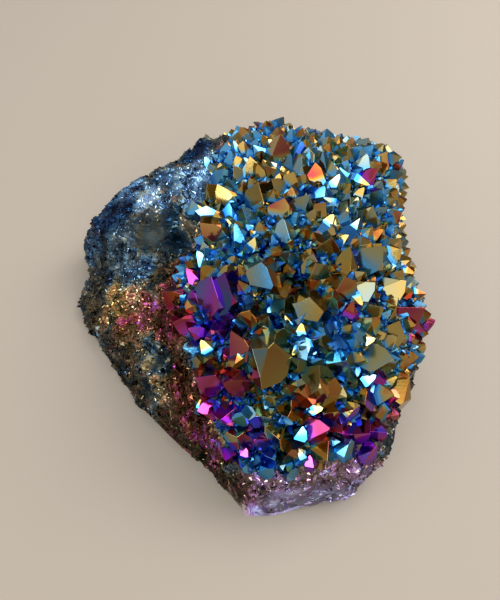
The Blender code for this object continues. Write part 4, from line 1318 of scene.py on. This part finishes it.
class DRUZY_OT_druse(bpy.types.Operator):
    """Fills the gaps between the points with small crystals"""

    bl_idname = "druzy.druse"
    bl_label = "Small Druse"

    def execute(self, context):
        skin = coarse_skin()
        rock = BVHTree.FromPolygons(*skin)
        crystals = list(small_points(rock))
        large = [*crown_points(rock), *side_points(rock), *crystals]
        taken = [(*matrix.translation, matrix.col[0].length / CROWDING) for _, _, matrix in large]
        for tip, _, lie in leading_points():
            root = tip - lie.col[2].xyz * PYRAMID_HEIGHT
            taken.append((*root, lie.col[0].length / CROWDING))
        crystals += druse_points(skin, taken)
        masters = [
            model_point(f"druse_master_{k}", random.Random(DRUSE_MASTER_SEED + k), 0, SMALL_CUTS)
            for k in range(DRUSE_MASTERS)]
        copies = []
        for number, (chance, tone, matrix) in enumerate(crystals):
            master = masters[chance.randrange(len(masters))]
            copies.append(copy_point(master, f"small_druse_{number}", matrix, tone, chance))
        for master in masters:
            bpy.data.objects.remove(master)
        druse = join(copies, "small_druse")
        finish_piece(druse, film_material("druse_film", context.scene.druzy_film, FACE_WAVER, FACE_MARKS))
        return {"FINISHED"}


class DRUZY_OT_grains(bpy.types.Operator):
    """Strews fine grains over the broken rock"""

    bl_idname = "druzy.grains"
    bl_label = "Fine Grains"

    def execute(self, context):
        grains = make_grains(bpy.data.objects["broken_rock"], context.scene.druzy_shape)
        finish_piece(grains, film_material("grain_film", context.scene.druzy_film, FACE_WAVER, ROCK_MARKS))
        return {"FINISHED"}


class DRUZY_OT_studio(bpy.types.Operator):
    """Sets a pale floor, soft windows and the camera round the cluster"""

    bl_idname = "druzy.studio"
    bl_label = "Studio"

    def execute(self, context):
        studio = context.scene.druzy_studio
        make_floor(studio)
        for name, (place, width, height) in LIGHTS.items():
            make_light(name, place, (width * MM, height * MM), getattr(studio, name))
        world = bpy.data.worlds.new("room")
        world.use_nodes = True
        light_room(world.node_tree, studio.room)
        context.scene.world = world
        make_camera()
        context.scene.view_settings.view_transform = "Standard"
        return {"FINISHED"}


def light_room(tree, strength):
    """A room that is brighter on one side than on the other."""
    direction = tree.nodes.new("ShaderNodeTexCoord")
    toward = add_node(
        tree, "ShaderNodeVectorMath",
        {0: direction.outputs["Generated"], 1: Vector(ROOM_BRIGHT_SIDE).normalized()},
        operation="DOT_PRODUCT")
    spread = add_node(tree, "ShaderNodeMapRange", {
        "Value": toward.outputs["Value"], "From Min": -1.0,
        "To Min": strength * ROOM_DARK, "To Max": strength * ROOM_BRIGHT})
    tree.nodes["Background"].inputs["Color"].default_value = ROOM_COLOUR
    tree.links.new(spread.outputs["Result"], tree.nodes["Background"].inputs["Strength"])


def make_floor(studio):
    """A pale floor under the chunk."""
    bpy.ops.object.select_all(action="DESELECT")
    bpy.ops.mesh.primitive_plane_add(size=FLOOR_SIZE)
    floor = bpy.context.object
    floor.name = floor.data.name = "floor"
    material = bpy.data.materials.new("pale_floor")
    material.use_nodes = True
    shader = material.node_tree.nodes["Principled BSDF"]
    shader.inputs["Base Color"].default_value = (*studio.floor, 1.0)
    shader.inputs["Roughness"].default_value = FLOOR_ROUGHNESS
    floor.data.materials.append(material)
    floor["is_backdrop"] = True


def make_light(name, place, size, power):
    """A soft rectangular light that faces the chunk."""
    light = bpy.data.lights.new(name, "AREA")
    light.shape = "RECTANGLE"
    light.size, light.size_y = size
    light.energy = power
    lamp = add_object(name, light)
    lamp.location = Vector(place) * MM
    lamp.rotation_euler = (-lamp.location).to_track_quat("-Z", "Y").to_euler()


def make_camera():
    """The camera, which looks down at the chunk's front."""
    data = bpy.data.cameras.new("camera")
    data.lens = CAMERA_LENS
    data.sensor_width = CAMERA_SENSOR
    data.clip_start = CAMERA_NEAREST
    camera = add_object("camera", data)
    camera.location = Vector(CAMERA_AT) * MM
    camera.rotation_euler = (math.radians(90 - CAMERA_DOWN), 0, 0)
    bpy.context.scene.camera = camera


class DRUZY_PT_panel(bpy.types.Panel):
    """The cluster's settings and pieces"""

    bl_idname = "DRUZY_PT_panel"
    bl_label = "Aura Druzy Cluster"
    bl_space_type = "VIEW_3D"
    bl_region_type = "UI"
    bl_category = "Druzy"

    def draw(self, context):
        layout = self.layout
        for settings in (context.scene.druzy_shape, context.scene.druzy_film, context.scene.druzy_studio):
            box = layout.box()
            for name in settings.__annotations__:
                box.prop(settings, name)
        for operator in OPERATORS:
            layout.operator(operator.bl_idname)


SETTINGS = {"druzy_shape": ClusterShape, "druzy_film": FilmColours, "druzy_studio": StudioSettings}
OPERATORS = (DRUZY_OT_rock, DRUZY_OT_points, DRUZY_OT_druse, DRUZY_OT_grains, DRUZY_OT_studio)
CLASSES = (*SETTINGS.values(), *OPERATORS, DRUZY_PT_panel)


def register():
    """Adds the settings, operators and panel."""
    for cls in CLASSES:
        bpy.utils.register_class(cls)
    for name, group in SETTINGS.items():
        setattr(bpy.types.Scene, name, PointerProperty(type=group))


def unregister():
    """Takes them away again."""
    for name in SETTINGS:
        delattr(bpy.types.Scene, name)
    for cls in reversed(CLASSES):
        bpy.utils.unregister_class(cls)


def main():
    """Builds every piece and the studio, and works out the bounds of the solid and of the pieces."""
    register()
    bpy.ops.druzy.rock()
    bpy.ops.druzy.points()
    bpy.ops.druzy.druse()
    bpy.ops.druzy.grains()
    bpy.ops.druzy.studio()
    boxes = {"cad": CAD_BOX, "visual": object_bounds()}
    {name: [list(corner) for corner in box] for name, box in boxes.items()}


if __name__ == "__main__":
    main()
